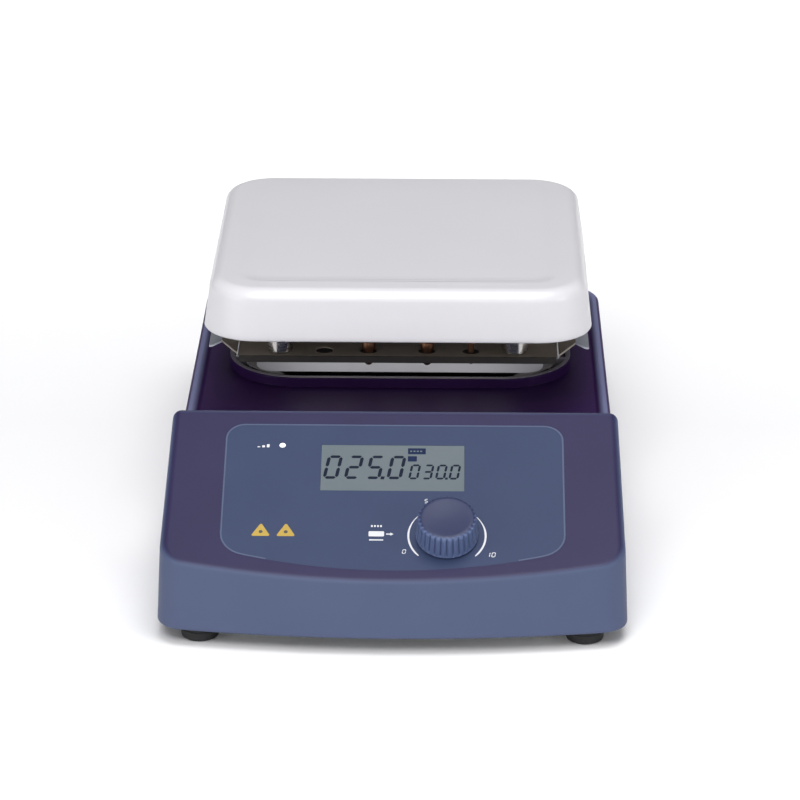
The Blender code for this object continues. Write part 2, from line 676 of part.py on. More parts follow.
def build_heater():
    tube("heating_element", omega_route(), 3.0, "element_sheath")
    tube("heater_lead_left", lead_route(LEAD_X[1]), LEAD_R, "copper")
    tube("heater_lead_right", lead_route(LEAD_X[2]), LEAD_R, "copper")
    sensor = [(LEAD_X[3], LEAD_Y, SENSOR_TIP_Z), *lead_route(LEAD_X[3])]
    tube("sensor_lead", sensor, SENSOR_LEAD_R, "copper")

    clamp = plate("clamp_plate", [circle(0, PLATE_Y, 66.0, 32)], 102.0, 104.4, "aluminium")
    studs = [(2.5, 35 * cos(a), PLATE_Y + 35 * sin(a), 103.0, PLATE_TOP - PLATE_WALL - GAP)
             for a in (radians(90 + 120 * k) for k in range(3))]
    boolean(clamp, cylinders("clamp_studs", studs, segments=12), "UNION")

    outline = rounded_rectangle(-78, 78, PLATE_Y - 62, PLATE_Y + 62, 18, 4)
    plate("insulation_pad", [outline, circle(0, PLATE_Y, 50, 28)], 96.0, 101.7, "mineral_fibre")


def shield_profile():
    """The heat shield across the instrument: flat, folded down, then flared out at each side."""
    ledge = SHIELD_TOP - SHIELD_DROP
    right = [(SHIELD_FLAT_HALF_W, SHIELD_TOP), (SHIELD_FLAT_HALF_W + FOLD_RUN, ledge),
             (SHIELD_LEDGE_X, ledge), (SHIELD_HALF_W, ledge - WING_FALL)]
    return [(-x, z) for x, z in reversed(right)] + right


def build_shield():
    bm = bmesh.new()
    rows = []
    for y in (PLATE_Y - SHIELD_HALF_D, PLATE_Y + SHIELD_HALF_D):
        rows.append([bm.verts.new(mm(x, y, z)) for x, z in shield_profile()])
    for i in range(len(rows[0]) - 1):
        bm.faces.new((rows[0][i], rows[0][i + 1], rows[1][i + 1], rows[1][i]))
    shield = add_object("heat_shield", finish_mesh("heat_shield", bm), "shield_steel")
    sheet = shield.modifiers.new("Sheet", "SOLIDIFY")
    sheet.thickness = SHIELD_T * MM
    sheet.offset = -1.0
    sheet.use_even_offset = True
    through = (SHIELD_TOP - 10, SHIELD_TOP + 5)
    holes = [(LEAD_HOLE_R, x, LEAD_Y, *through) for x in LEAD_X]
    holes += [(DRIVE_HOLE_R, 0, PLATE_Y, *through)]
    post_places = corner_places(POST_X, (PLATE_Y - POST_Y, PLATE_Y + POST_Y))
    holes += [(POST_HOLE_R, x, y, *through) for _, x, y in post_places]
    holes += [(PILLAR_HOLE_R, x, y, *through) for _, x, y in pillar_places()]
    boolean(shield, cylinders("shield_holes", holes, segments=14))
    fold = SHIELD_FLAT_HALF_W + FOLD_RUN + 0.2
    for sign in (-1, 1):
        for end, wing in zip((-1, 1), WING_Y):
            edge = PLATE_Y + end * SHIELD_HALF_D
            clear = edge + end
            corner = [(fold, clear), (SHIELD_HALF_W + 2, clear), (SHIELD_HALF_W + 2, wing),
                      (SHIELD_LEDGE_X, wing), (fold, wing + (edge - wing) * WING_SLANT)]
            boolean(shield, plate("wing_cut", [[(sign * x, y) for x, y in corner]], 60,
                                  SHIELD_TOP - 0.1))
    for suffix, x, y in pillar_places():
        screw("shield_screw_" + suffix, x, y, SHIELD_TOP + GAP + 2.0, 68.0, 3.3, 1.6)


def build_tray():
    """The reflector tray: a flat floor with a flared rim, standing on two folded skids."""
    front, rear = TRAY_Y
    floor = rounded_rectangle(-TRAY_HALF_W, TRAY_HALF_W, front, rear, TRAY_R, 5)
    holes = [circle(x, y, PILLAR_R + 0.6, 16) for _, x, y in pillar_places()]
    holes += [circle(0, PLATE_Y, 5.0, 16)]
    holes += [circle(x, LEAD_REAR_Y, LEAD_R + 1.0, 14) for x in LEAD_X[1:]]
    tray = plate("reflector_tray", [floor, *holes], TRAY_TOP - 0.8, TRAY_TOP, "tray_steel")
    side = TRAY_HALF_W - 0.5
    skids = []
    for sign in (-1, 1):
        inner, outer = sorted((sign * side, sign * (side + 4.5)))
        skids.append(((inner, front + 15, TRAY_TOP - 0.8), (outer, rear - 15, TRAY_TOP + 0.9)))
        inner, outer = sorted((sign * (side + 3.5), sign * (side + 4.5)))
        skids.append(((inner, front + 15, DECK_TOP + GAP), (outer, rear - 15, TRAY_TOP)))
    for k, corners in enumerate(skids):
        boolean(tray, boxes(f"tray_skid_{k}", [corners]), "UNION")


# ---------------------------------------------------------------- stirring drive

def build_drive():
    axis = axis_empty("stir_axis", (0, PLATE_Y, 0))

    def spinning(obj):
        obj.parent = axis
        return obj

    low, high = MOTOR_Z
    centre = (0, PLATE_Y, 0)
    wall = 1.5
    can = [(MOTOR_R, high), (MOTOR_R, low), (0, low), (0, low + wall), (3.3, low + wall), (3.3, low + 5),
           (6, low + 5), (6, low + wall), (MOTOR_R - wall, low + wall), (MOTOR_R - wall, high - wall),
           (8, high - wall), (8, high)]
    motor = turned("motor_can", can, "zinc_steel", centre, 24)
    outline = rounded_rectangle(-37, 37, PLATE_Y - 14, PLATE_Y + 14, 5, 3)
    holes = [circle(0, PLATE_Y, 10.0, 16)] + [circle(s * MOTOR_EAR_X, PLATE_Y, 1.9, 12) for s in (-1, 1)]
    ears = plate("motor_ears", [outline, *holes], high - 1.1, high + 0.4)
    boolean(motor, ears, "UNION")
    for side, sign in (("left", -1), ("right", 1)):
        screw("motor_screw_" + side, sign * MOTOR_EAR_X, PLATE_Y, high - 1.1 - GAP - 2.0, 44.4, 3.3, 1.6)
    turned("motor_stator", [(23.1, 34), (23.1, 19), (16.4, 19), (16.4, 34)], "copper", centre, 24)
    turned("upper_bearing", [(8, 44.9), (8, 41), (3.3, 41), (3.3, 44.9)], "polished_steel", centre, 18)

    spinning(turned("drive_shaft", [(0, 88.5), (2.4, 88.5), (SHAFT_R, 88), (SHAFT_R, 15.5), (0, 15.5)],
                    "polished_steel", segments=20))
    spinning(turned("motor_rotor", [(16, 33), (16, 20), (3.3, 20), (3.3, 33)], "zinc_steel", segments=24))
    carrier = [(6.5, 90), (6.5, CARRIER_Z + 3), (CARRIER_R, CARRIER_Z + 3), (CARRIER_R, CARRIER_Z),
               (7, CARRIER_Z), (7, CARRIER_Z - 1.5), (3.3, CARRIER_Z - 1.5), (3.3, 90)]
    spinning(turned("magnet_carrier", carrier, "aluminium", segments=28))
    base = CARRIER_Z + 3 + GAP
    for side, sign in (("left", -1), ("right", 1)):
        low_x, high_x = sorted((sign * (MAGNET_X - 9), sign * (MAGNET_X + 9)))
        block = boxes("stir_magnet_" + side, [((low_x, -9, base), (high_x, 9, base + 8))], "magnet_nickel")
        spinning(block)


# ---------------------------------------------------------------- electrics

def build_electrics():
    plate("power_board", [rounded_rectangle(-57, 57, -64, 18, 2, 2)], 16.0, 17.6, "board_laminate")
    base = [((-30, -58, 17.9), (30, -40, 20.9))]
    fins = [((-30, y, 20.5), (30, y + 1.6, 37.0)) for y in (-57, -52.2, -47.4, -42.6)]
    sink = boxes("heat_sink", base, "aluminium")
    boolean(sink, boxes("heat_sink_fins", fins), "UNION")
    boxes("power_transformer", [((-52, -30, 17.9), (-18, 10, 39.0))], "black_plastic")

    inlet = boxes("mains_inlet", [((-13.9, -10.8, -27), (13.9, 10.8, 0.6))], "black_plastic")
    on_rear(inlet, INLET_X)
    flange = boxes("inlet_flange", [((-15.5, -12.4, 0.3), (15.5, 12.4, 1.5))])
    boolean(inlet, on_rear(flange, INLET_X), "UNION")
    mouth = [(-11.7, -3.0), (11.7, -3.0), (11.7, 4.6), (7.6, 9.3), (-7.6, 9.3), (-11.7, 4.6)]
    boolean(inlet, on_rear(plate("inlet_mouth", [mouth], -17.0, 3.0), INLET_X))
    pins = [((x - 1, y - 2, -19), (x + 1, y + 2, -6.5)) for x, y in ((-7, 0.6), (7, 0.6), (0, 4.6))]
    boolean(inlet, on_rear(boxes("inlet_pins", pins), INLET_X), "UNION")
    slot = boxes("fuse_slot", [((-11.3, -9.8, -24), (11.3, -4.2, 3.0))])
    boolean(inlet, on_rear(slot, INLET_X))
    drawer = boxes("fuse_drawer", [((-11.0, -9.5, -22), (11.0, -4.5, 1.5))], "black_plastic")
    on_rear(drawer, INLET_X)
    pocket = boxes("fuse_pocket", [((-10, -8, -20), (10, -3, -3))])
    boolean(drawer, on_rear(pocket, INLET_X))

    switch = boxes("switch_body", [((-7.0, -9.9, -18), (7.0, 9.9, 0.5))], "black_plastic")
    on_rear(switch, SWITCH_X)
    bezel = boxes("switch_bezel", [((-8.2, -11.2, 0.3), (8.2, 11.2, 1.5))])
    boolean(switch, on_rear(bezel, SWITCH_X), "UNION")
    well = boxes("switch_well", [((-5.5, -8.7, -9), (5.5, 8.7, 3))])
    boolean(switch, on_rear(well, SWITCH_X))
    build_rocker()

    ring = turned("sensor_socket", [(9.5, 1.5), (9.5, 0.3), (7.9, 0.3), (7.9, -12), (0, -12), (0, -8),
                                    (6.0, -8), (6.0, 1.5)], "black_plastic", segments=24)
    on_rear(ring, SENSOR_X)


def build_rocker():
    """The rocker: two faces that meet in a shallow valley, on a pivot 4 mm inside the wall."""
    half = 8.0
    outline = [(-half, -2.0), (-2.5, -4.0), (2.5, -4.0), (half, -2.0), (half, 4.6), (0.0, 3.2), (-half, 4.6)]
    rocker = plate("power_rocker", [outline], -5.1, 5.1, "black_plastic")
    tilt = Matrix.Rotation(radians(-8.0), 4, "X")
    stand = Matrix(((0, 0, 1, 0), (1, 0, 0, 0), (0, 1, 0, 0), (0, 0, 0, 1)))
    rocker.data.transform(tilt @ stand)
    on_rear(rocker, SWITCH_X)
    rocker.location.y -= 4.0 * MM


clear_scene()
parts = make_collection("magnetic_stirrer")
cutters = make_collection("cutters")
materials = {name: make_material(name) for name in COLOURS}
build_housing()
build_console()
build_panel()
build_underside()
build_plate()
build_heater()
build_shield()
build_tray()
build_drive()
build_electrics()
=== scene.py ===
"""Looks of a heated magnetic stirrer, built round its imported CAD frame.

Lengths below are in millimetres in the instrument's own frame: origin on the bench at the middle of
the outline, +X to the right of a person at the console, +Y to the rear, +Z up.
"""
import bpy
import bmesh
from math import atan, cos, pi, radians, sin, tan
from mathutils import Matrix, Vector


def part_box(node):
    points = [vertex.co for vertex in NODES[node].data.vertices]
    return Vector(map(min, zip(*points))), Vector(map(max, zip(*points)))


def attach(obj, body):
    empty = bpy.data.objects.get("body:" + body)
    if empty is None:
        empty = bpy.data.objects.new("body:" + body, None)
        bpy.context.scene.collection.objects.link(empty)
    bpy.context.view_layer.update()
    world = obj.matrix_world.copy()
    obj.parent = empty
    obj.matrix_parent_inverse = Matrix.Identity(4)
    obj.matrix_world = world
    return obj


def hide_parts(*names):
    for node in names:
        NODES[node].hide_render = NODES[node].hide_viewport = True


MM = 0.001
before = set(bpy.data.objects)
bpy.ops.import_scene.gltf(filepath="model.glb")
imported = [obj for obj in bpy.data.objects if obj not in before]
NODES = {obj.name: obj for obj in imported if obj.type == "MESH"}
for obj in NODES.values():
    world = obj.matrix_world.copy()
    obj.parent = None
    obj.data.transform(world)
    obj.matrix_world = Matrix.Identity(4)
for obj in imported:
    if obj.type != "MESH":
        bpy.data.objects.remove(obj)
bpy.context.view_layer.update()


def node_box(node):
    low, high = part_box(node)
    return low / MM, high / MM


# Sizes that the looks share with the frame
PLATE_LOW, PLATE_HIGH = node_box("hot_plate")
SHELL_LOW, SHELL_HIGH = node_box("rear_housing")
CONSOLE_LOW, CONSOLE_HIGH = node_box("console_shell")
PLATE_Y = (PLATE_LOW.y + PLATE_HIGH.y) / 2
PLATE_CORNER_R = 26.0
PLATE_TAPER = 3.6                      # how far each side leans in over the plate's height
SHELL_BOTTOM = CONSOLE_LOW.z
REAR_Y = SHELL_HIGH.y
FRONT_Y = CONSOLE_LOW.y
HOUSING_FRONT_Y = SHELL_LOW.y
HOUSING_HALF_W = SHELL_HIGH.x
CONSOLE_HALF_W = CONSOLE_HIGH.x
CONSOLE_REAR_Y = CONSOLE_HIGH.y
REAR_CORNER_R = 25.0
RIM_TOP = 50.0
DECK_TOP = 46.0
COLLAR = (85.5, 31.5, 165.0, 36.0)     # half width, front, rear, corner radius
COLLAR_TOP = 51.0
PANEL_TILT = radians(26.0)
CREST = (-83.5, 78.4)
FRONT_BOW = 8.0
FRONT_BOW_HALF_W = 93.0
FRONT_CORNER_R = 13.0
SIDE_DRAFT = 3.0 / 70.5
FRONT_DRAFT = 0.16
EDGE_R = 4.2                           # rounding of the console's upper edges
OVERLAY_HALF_W = 77.0
OVERLAY_TOP_S = 8.0
OVERLAY_CORNER_S = 85.5
OVERLAY_BOTTOM_S = 95.0
OVERLAY_TOP_R = 9.0
OVERLAY_BOTTOM_R = 13.0
KNOB_X = 24.2
KNOB_S = 74.5
WINDOW_X = -0.6
WINDOW = (32.5, 20.6, 48.2)            # half width, upper and lower edge down the slope
LED = (-50.9, 21.0)
LED_HOLE_R = 2.2
SHIELD_TOP = 81.2
SHIELD_DROP = 6.2                      # from the shield's flat sheet down to its side ledges
SHIELD_LEDGE_X = 86.0
TRAY_TOP = 50.4
TRAY = (71.2, 37.5, 159.0, 15.0)       # half width, front, rear, corner radius
LEAD_X = (-35.0, -14.0, 14.0, 35.0)
LEAD_Y = -10.5
LEAD_REAR_Y = 72.0                     # where the leads go down through the tray and the deck
PILLARS = [(x, y) for x in (-60.0, 60.0) for y in (66.0, 112.0)]
PILLAR_BORE_R = 1.9
BORE_R = 2.3                           # clearance round the post and foot screws
POST_R = 6.0
POST_TOP = 98.7
POST_X = 56.0
POST_Y = (PLATE_Y - 71.0, PLATE_Y + 71.0)
FOOT_X = 86.0
FOOT_Y = (-158.0, 150.0)
BOSS_R = 5.0                           # foot bosses and shield pillars
COVER_TOP = 10.9                       # upper face of the bottom cover
REAR_Z = 27.5
INLET_X, SWITCH_X, SENSOR_X = -52.0, -12.0, 45.0
PANEL = Matrix.Translation((0, *CREST)) @ Matrix.Rotation(PANEL_TILT, 4, "X")


# ---------------------------------------------------------------- materials

def new_node(tree, kind, **sockets):
    node = tree.nodes.new("ShaderNode" + kind)
    for name, value in sockets.items():
        node.inputs[name.replace("_", " ")].default_value = value
    return node


def noise(tree, scale, detail=4.0, roughness=0.55, stretch=None):
    """A noise pattern fixed to the piece, scale in cycles a metre, stretched along one way if asked."""
    place = tree.nodes.new("ShaderNodeTexCoord").outputs["Object"]
    if stretch:
        mapping = new_node(tree, "Mapping", Scale=stretch)
        tree.links.new(place, mapping.inputs["Vector"])
        place = mapping.outputs["Vector"]
    pattern = new_node(tree, "TexNoise", Scale=scale, Detail=detail, Roughness=roughness)
    tree.links.new(place, pattern.inputs["Vector"])
    return pattern.outputs["Fac"]


def spread(tree, value, low, high, start=0.3, end=0.7):
    mapped = new_node(tree, "MapRange", From_Min=start, From_Max=end, To_Min=low, To_Max=high)
    tree.links.new(value, mapped.inputs["Value"])
    return mapped.outputs["Result"]


def mixed(tree, value, first, second):
    mix = tree.nodes.new("ShaderNodeMix")
    mix.data_type = "RGBA"
    for socket, colour in zip(mix.inputs[6:8], (first, second)):
        if isinstance(colour, bpy.types.NodeSocket):
            tree.links.new(colour, socket)
        else:
            socket.default_value = (*colour, 1.0)
    tree.links.new(value, mix.inputs[0])
    return mix.outputs[2]


M = {}


def finish(name, colour, other, rough, metallic=0.0, cloud=30.0, grain=900.0, depth=0.00002,
           stretch=None, **sockets):
    """A surface whose colour drifts between two tones, with a fine grain in roughness and relief."""
    mat = bpy.data.materials.new(name)
    mat.use_nodes = True
    tree = mat.node_tree
    shader = tree.nodes["Principled BSDF"]
    shader.inputs["Metallic"].default_value = metallic
    for socket, value in sockets.items():
        shader.inputs[socket.replace("_", " ")].default_value = value
    drift = spread(tree, noise(tree, cloud), 0.0, 1.0)
    tree.links.new(mixed(tree, drift, colour, other), shader.inputs["Base Color"])
    fine = noise(tree, grain, 3.0, 0.6, stretch)
    tree.links.new(spread(tree, fine, *rough), shader.inputs["Roughness"])
    bump = new_node(tree, "Bump", Strength=1.0, Distance=depth)
    tree.links.new(fine, bump.inputs["Height"])
    tree.links.new(bump.outputs["Normal"], shader.inputs["Normal"])
    mat.diffuse_color = (*colour, 1.0)
    M[name] = mat


def axes(tree, kind):
    """The three parts of a texture coordinate, such as Object for place or Normal for facing."""
    split = tree.nodes.new("ShaderNodeSeparateXYZ")
    tree.links.new(tree.nodes.new("ShaderNodeTexCoord").outputs[kind], split.inputs[0])
    return split.outputs


def painted_light_tone(tree, share, colour, other):
    """Paint light on: pass from the surface's own colour to a second, lighter pair of tones, by a share from
    0 to 1.
    """
    base = tree.nodes["Principled BSDF"].inputs["Base Color"]
    before = base.links[0].from_socket
    after = mixed(tree, spread(tree, noise(tree, 25.0), 0.0, 1.0), colour, other)
    tree.links.new(mixed(tree, share, before, after), base)


def painted_light_by_facing(name, start, end, colour, other):
    """Paint light by facing: pass to a lighter tone as the surface's upward part goes from start to end."""
    tree = M[name].node_tree
    painted_light_tone(tree, spread(tree, axes(tree, "Normal")[2], 1.0, 0.0, end, start), colour, other)


finish("housing_paint", (0.026, 0.0085, 0.058), (0.031, 0.010, 0.066), (0.34, 0.42), grain=1400,
       depth=0.000008, Specular_IOR_Level=0.10)
finish("console_paint", (0.020, 0.0165, 0.061), (0.022, 0.0185, 0.066), (0.46, 0.54), grain=2200,
       depth=0.00001, Specular_IOR_Level=0.3)
finish("overlay_film", (0.028, 0.043, 0.099), (0.031, 0.047, 0.105), (0.46, 0.54), grain=3500,
       depth=0.000006, Specular_IOR_Level=0.28)
# Paler film tone for the painted highlight along the film's raised edge.
finish("overlay_line", (0.055, 0.078, 0.150), (0.060, 0.084, 0.158), (0.42, 0.5), grain=3500, depth=0.00001)
finish("print_white", (0.62, 0.63, 0.66), (0.68, 0.69, 0.71), (0.4, 0.5), grain=3500, depth=0.000005)
finish("print_yellow", (0.40, 0.27, 0.035), (0.45, 0.30, 0.042), (0.4, 0.5), grain=3500, depth=0.000005)
finish("print_dark", (0.05, 0.045, 0.04), (0.06, 0.055, 0.05), (0.4, 0.5), grain=3500, depth=0.000005)
finish("plate_enamel", (0.62, 0.612, 0.635), (0.635, 0.627, 0.65), (0.34, 0.36), cloud=14, grain=500,
       depth=0.0000006, Coat_Weight=0.2, Coat_Roughness=0.16)
finish("knob_plastic", (0.018, 0.029, 0.078), (0.024, 0.029, 0.082), (0.36, 0.44), grain=2600,
       depth=0.00001, Specular_IOR_Level=0.35)
finish("display_glass", (0.120, 0.148, 0.165), (0.135, 0.160, 0.172), (0.22, 0.26), grain=700,
       depth=0.000002, Specular_IOR_Level=0.2)
finish("lcd_ink", (0.008, 0.012, 0.026), (0.011, 0.015, 0.031), (0.6, 0.66), grain=3000, depth=0.000002,
       Specular_IOR_Level=0.1)
finish("lcd_badge", (0.010, 0.018, 0.055), (0.013, 0.022, 0.062), (0.6, 0.66), grain=3000, depth=0.000002,
       Specular_IOR_Level=0.1)
finish("shield_steel", (0.200, 0.170, 0.138), (0.240, 0.205, 0.168), (0.42, 0.56), 0.2, grain=300,
       depth=0.00002, stretch=(1.0, 6.0, 1.0))
# Pale steel for the wing tips, also laid along the folds as a painted highlight.
finish("wing_steel_and_fold_highlight", (0.34, 0.36, 0.41), (0.38, 0.40, 0.45), (0.3, 0.42), 0.5, grain=400, depth=0.00002,
       stretch=(1.0, 6.0, 1.0))
finish("tray_steel", (0.74, 0.75, 0.80), (0.79, 0.80, 0.85), (0.40, 0.52), 0.1, grain=350, depth=0.00002,
       stretch=(1.0, 5.0, 1.0))
# The tray's own steel, coloured much darker as painted shade on its flared walls and skids.
finish("pan_steel_painted_shade", (0.20, 0.19, 0.19), (0.25, 0.24, 0.24), (0.42, 0.55), 0.2, grain=350,
       depth=0.00002, stretch=(1.0, 5.0, 1.0))
finish("liner_steel", (0.17, 0.155, 0.18), (0.20, 0.185, 0.21), (0.40, 0.52), 0.2, grain=500, depth=0.00001)
# Near-black steel that paints the shade under the shield's front edge.
finish("painted_shade_steel", (0.020, 0.018, 0.016), (0.028, 0.025, 0.022), (0.5, 0.6), 0.2, grain=500,
       depth=0.00001)
finish("polished_steel", (0.50, 0.48, 0.46), (0.56, 0.54, 0.52), (0.22, 0.30), 1.0, grain=500,
       depth=0.00001, stretch=(0.2, 0.2, 6.0))
finish("zinc_steel", (0.42, 0.42, 0.41), (0.52, 0.52, 0.50), (0.34, 0.48), 1.0, cloud=160, grain=700,
       depth=0.00002)
finish("copper", (0.22, 0.105, 0.060), (0.15, 0.080, 0.050), (0.38, 0.52), 1.0, cloud=200, grain=900,
       depth=0.00002)
finish("element_sheath", (0.22, 0.20, 0.18), (0.15, 0.13, 0.12), (0.4, 0.55), 0.9, cloud=120, grain=900,
       depth=0.00003)
finish("mineral_fibre", (0.62, 0.57, 0.48), (0.52, 0.47, 0.39), (0.9, 1.0), cloud=300, grain=1600,
       depth=0.0004)
finish("aluminium", (0.60, 0.61, 0.62), (0.66, 0.67, 0.68), (0.28, 0.42), 1.0, grain=600, depth=0.00002,
       stretch=(0.3, 4.0, 0.3))
finish("magnet_nickel", (0.50, 0.48, 0.44), (0.56, 0.54, 0.50), (0.18, 0.3), 1.0, grain=700, depth=0.00001)
finish("rubber", (0.014, 0.014, 0.015), (0.020, 0.020, 0.021), (0.7, 0.85), grain=1800, depth=0.00004)
finish("black_plastic", (0.018, 0.018, 0.020), (0.023, 0.023, 0.025), (0.4, 0.55), grain=2500,
       depth=0.00003)
finish("board_laminate", (0.018, 0.125, 0.048), (0.022, 0.10, 0.040), (0.35, 0.5), cloud=500, grain=2500,
       depth=0.00002)
finish("lens_white", (0.80, 0.80, 0.78), (0.86, 0.86, 0.84), (0.15, 0.25), grain=900, depth=0.000005,
       Emission_Color=(1.0, 1.0, 0.97, 1.0), Emission_Strength=0.5)
# Near black, for painted shade in holes.
finish("dark_gap", (0.010, 0.009, 0.010), (0.014, 0.012, 0.013), (0.6, 0.8))
finish("brass", (0.60, 0.42, 0.16), (0.5, 0.34, 0.12), (0.25, 0.4), 1.0)
finish("stone_floor", (0.90, 0.90, 0.905), (0.92, 0.92, 0.925), (0.7, 0.8), cloud=2.0, grain=60,
       depth=0.00002, Emission_Color=(1.0, 1.0, 1.0, 1.0))
# Painted light: the console's upright walls, its front face above all, take a lighter blue tone than its
# slope.
painted_light_by_facing("console_paint", 0.82, 0.50, (0.061, 0.081, 0.153), (0.066, 0.086, 0.160))
# Painted highlight: the flattest, uppermost faces along the console's crest take a paler tone.
painted_light_by_facing("console_paint", 0.92, 1.0, (0.044, 0.050, 0.106), (0.048, 0.054, 0.112))
# Painted light: the knob's upright fluted side takes a lighter blue tone than its cap.
painted_light_by_facing("knob_plastic", 0.80, 0.50, (0.080, 0.112, 0.222), (0.086, 0.119, 0.232))


def glow_behind(mat, start, end, strength):
    """Let the sweep glow more and more behind the object, as a lit white background does."""
    tree = mat.node_tree
    glow = spread(tree, axes(tree, "Object")[1], 0.0, strength, start, end)
    tree.links.new(glow, tree.nodes["Principled BSDF"].inputs["Emission Strength"])


glow_behind(M["stone_floor"], 0.1, 1.1, 0.6)


def painted_rim_highlight(mat, colour, other):
    """Paint a highlight on the raised rim round the deck: a paler tone than the deck and the walls."""
    tree = mat.node_tree
    place = axes(tree, "Object")

    def maths(kind, first, second=None):
        node = tree.nodes.new("ShaderNodeMath")
        node.operation = kind
        for socket, value in zip(node.inputs, (first, second)):
            if isinstance(value, bpy.types.NodeSocket):
                tree.links.new(value, socket)
            elif value is not None:
                socket.default_value = value
        return node.outputs[0]

    side = maths("ABSOLUTE", place[0])
    rear = maths("SUBTRACT", place[1], (REAR_Y - HOUSING_HALF_W) * MM)
    outer = maths("MAXIMUM", side, rear)
    near_rim = spread(tree, outer, 0.0, 1.0, (HOUSING_HALF_W - 8.0) * MM, (HOUSING_HALF_W - 5.0) * MM)
    not_edge = spread(tree, outer, 1.0, 0.0, (HOUSING_HALF_W - 1.6) * MM, (HOUSING_HALF_W - 0.9) * MM)
    raised = spread(tree, place[2], 0.0, 1.0, (RIM_TOP - 3.0) * MM, (RIM_TOP - 0.8) * MM)
    share = maths("MULTIPLY", maths("MULTIPLY", near_rim, raised), not_edge)
    painted_light_tone(tree, share, colour, other)


# Painted highlight along the top of the deck's rim.
painted_rim_highlight(M["housing_paint"], (0.150, 0.160, 0.280), (0.160, 0.170, 0.300))


# ---------------------------------------------------------------- mesh helpers

def piece(name, verts, faces, material, body="housing", smooth=32.0, place=None, stands_for=()):
    """A new piece from vertices in millimetres, riding on a body."""
    mesh = bpy.data.meshes.new(name)
    mesh.from_pydata([Vector(v) for v in verts], [], faces)
    mesh.transform(Matrix.Scale(MM, 4) @ (place or Matrix.Identity(4)))
    bm = bmesh.new()
    bm.from_mesh(mesh)
    bmesh.ops.remove_doubles(bm, verts=bm.verts, dist=1e-7)
    bmesh.ops.dissolve_degenerate(bm, edges=bm.edges, dist=1e-7)
    bmesh.ops.recalc_face_normals(bm, faces=bm.faces)
    bm.to_mesh(mesh)
    bm.free()
    obj = bpy.data.objects.new(name, mesh)
    bpy.context.scene.collection.objects.link(obj)
    if material is None:
        return obj
    mesh.materials.append(M[material])
    if smooth:
        mesh.shade_smooth()
        mesh.set_sharp_from_angle(angle=radians(smooth))
    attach(obj, body)
    if stands_for:
        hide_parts(*stands_for)
    return obj


def weighted(obj):
    """Keep large flat faces flat in shading beside the rounded edges."""
    step = obj.modifiers.new("Weights", "WEIGHTED_NORMAL")
    step.keep_sharp = True
    step.weight = 80
    return obj


def loft(rings, caps=True, wrap=False):
    """Faces between closed rings of equal length; wrap joins the last ring to the first."""
    count = len(rings[0])
    verts = [v for ring in rings for v in ring]
    faces = []
    last = len(rings) if wrap else len(rings) - 1
    for k in range(last):
        a, b = k * count, (k + 1) % len(rings) * count
        for i in range(count):
            j = (i + 1) % count
            faces.append((a + i, a + j, b + j, b + i))
    if caps and not wrap:
        faces.append(tuple(reversed(range(count))))
        faces.append(tuple(range((len(rings) - 1) * count, len(rings) * count)))
    return verts, faces


def lofted(name, rings, material, wrap=False, **kind):
    """A piece whose skin runs through rings of points."""
    verts, faces = loft(rings, wrap=wrap)
    return piece(name, verts, faces, material, **kind)


def turned(name, profile, material, body="housing", place=None, segments=48, at=(0, 0, 0), stands_for=(),
           smooth=32.0, ripple=None):
    """A lathe piece: profile is (radius, height) from the axis round to the axis again, or a loop."""
    rings = []
    for radius, height in profile:
        ring = []
        for k in range(segments):
            angle = 2 * pi * k / segments
            r = radius if ripple is None else ripple(radius, height, angle)
            ring.append((at[0] + r * cos(angle), at[1] + r * sin(angle), at[2] + height))
        rings.append(ring)
    verts, faces = loft(rings, caps=False, wrap=profile[0][0] > 0)
    return piece(name, verts, faces, material, body, smooth, place, stands_for)


def fillet(corners, steps=8):
    """Points of a polygon whose corners (x, y, radius) are rounded with arcs."""
    points = []
    count = len(corners)
    for i, (x, y, radius) in enumerate(corners):
        corner = Vector((x, y))
        if radius <= 0:
            points.append((x, y))
            continue
        before = (Vector(corners[i - 1][:2]) - corner).normalized()
        after = (Vector(corners[(i + 1) % count][:2]) - corner).normalized()
        half_angle = before.angle(after) / 2
        centre = corner + (before + after).normalized() * (radius / sin(half_angle))
        start = corner + before * (radius / tan(half_angle)) - centre
        end = corner + after * (radius / tan(half_angle)) - centre
        turn = start.angle_signed(end)
        for k in range(steps + 1):
            arm = start.copy()
            arm.rotate(Matrix.Rotation(-turn * k / steps, 2))
            points.append(tuple(centre + arm))
    return points


def rectangle(half_w, y_low, y_high, radius, steps=8, middle=0.0):
    radius = max(radius, 0.01)
    x_low, x_high = middle - half_w, middle + half_w
    return fillet([(x_low, y_low, radius), (x_high, y_low, radius),
                   (x_high, y_high, radius), (x_low, y_high, radius)], steps)


def circle(x, y, radius, segments=32):
    return [(x + radius * cos(2 * pi * k / segments), y + radius * sin(2 * pi * k / segments))
            for k in range(segments)]


def lifted(outline, height):
    return [(x, y, height) for x, y in outline]


def prism(name, outline, low, high, material=None, place=None, edge=0.0, **kind):
    """A flat piece cut to an outline, with its upper edge eased where an edge size is given."""
    rings = [lifted(outline, low), lifted(outline, high - edge)]
    if edge:
        inner = inset_loop(outline, edge * 0.3)
        rings.append(lifted(inner, high - edge * 0.3))
        rings.append(lifted(inset_loop(outline, edge), high))
    return lofted(name, rings, material, place=place, **kind)


def inset_loop(outline, distance):
    """A loop moved inwards by a small distance; it runs anticlockwise."""
    count = len(outline)
    area = sum(outline[i - 1][0] * outline[i][1] - outline[i][0] * outline[i - 1][1] for i in range(count))
    way = 1 if area > 0 else -1
    moved = []
    for i, (x, y) in enumerate(outline):
        before, after = outline[i - 1], outline[(i + 1) % count]
        along = Vector((after[0] - before[0], after[1] - before[1])).normalized()
        moved.append((x - way * along.y * distance, y + way * along.x * distance))
    return moved


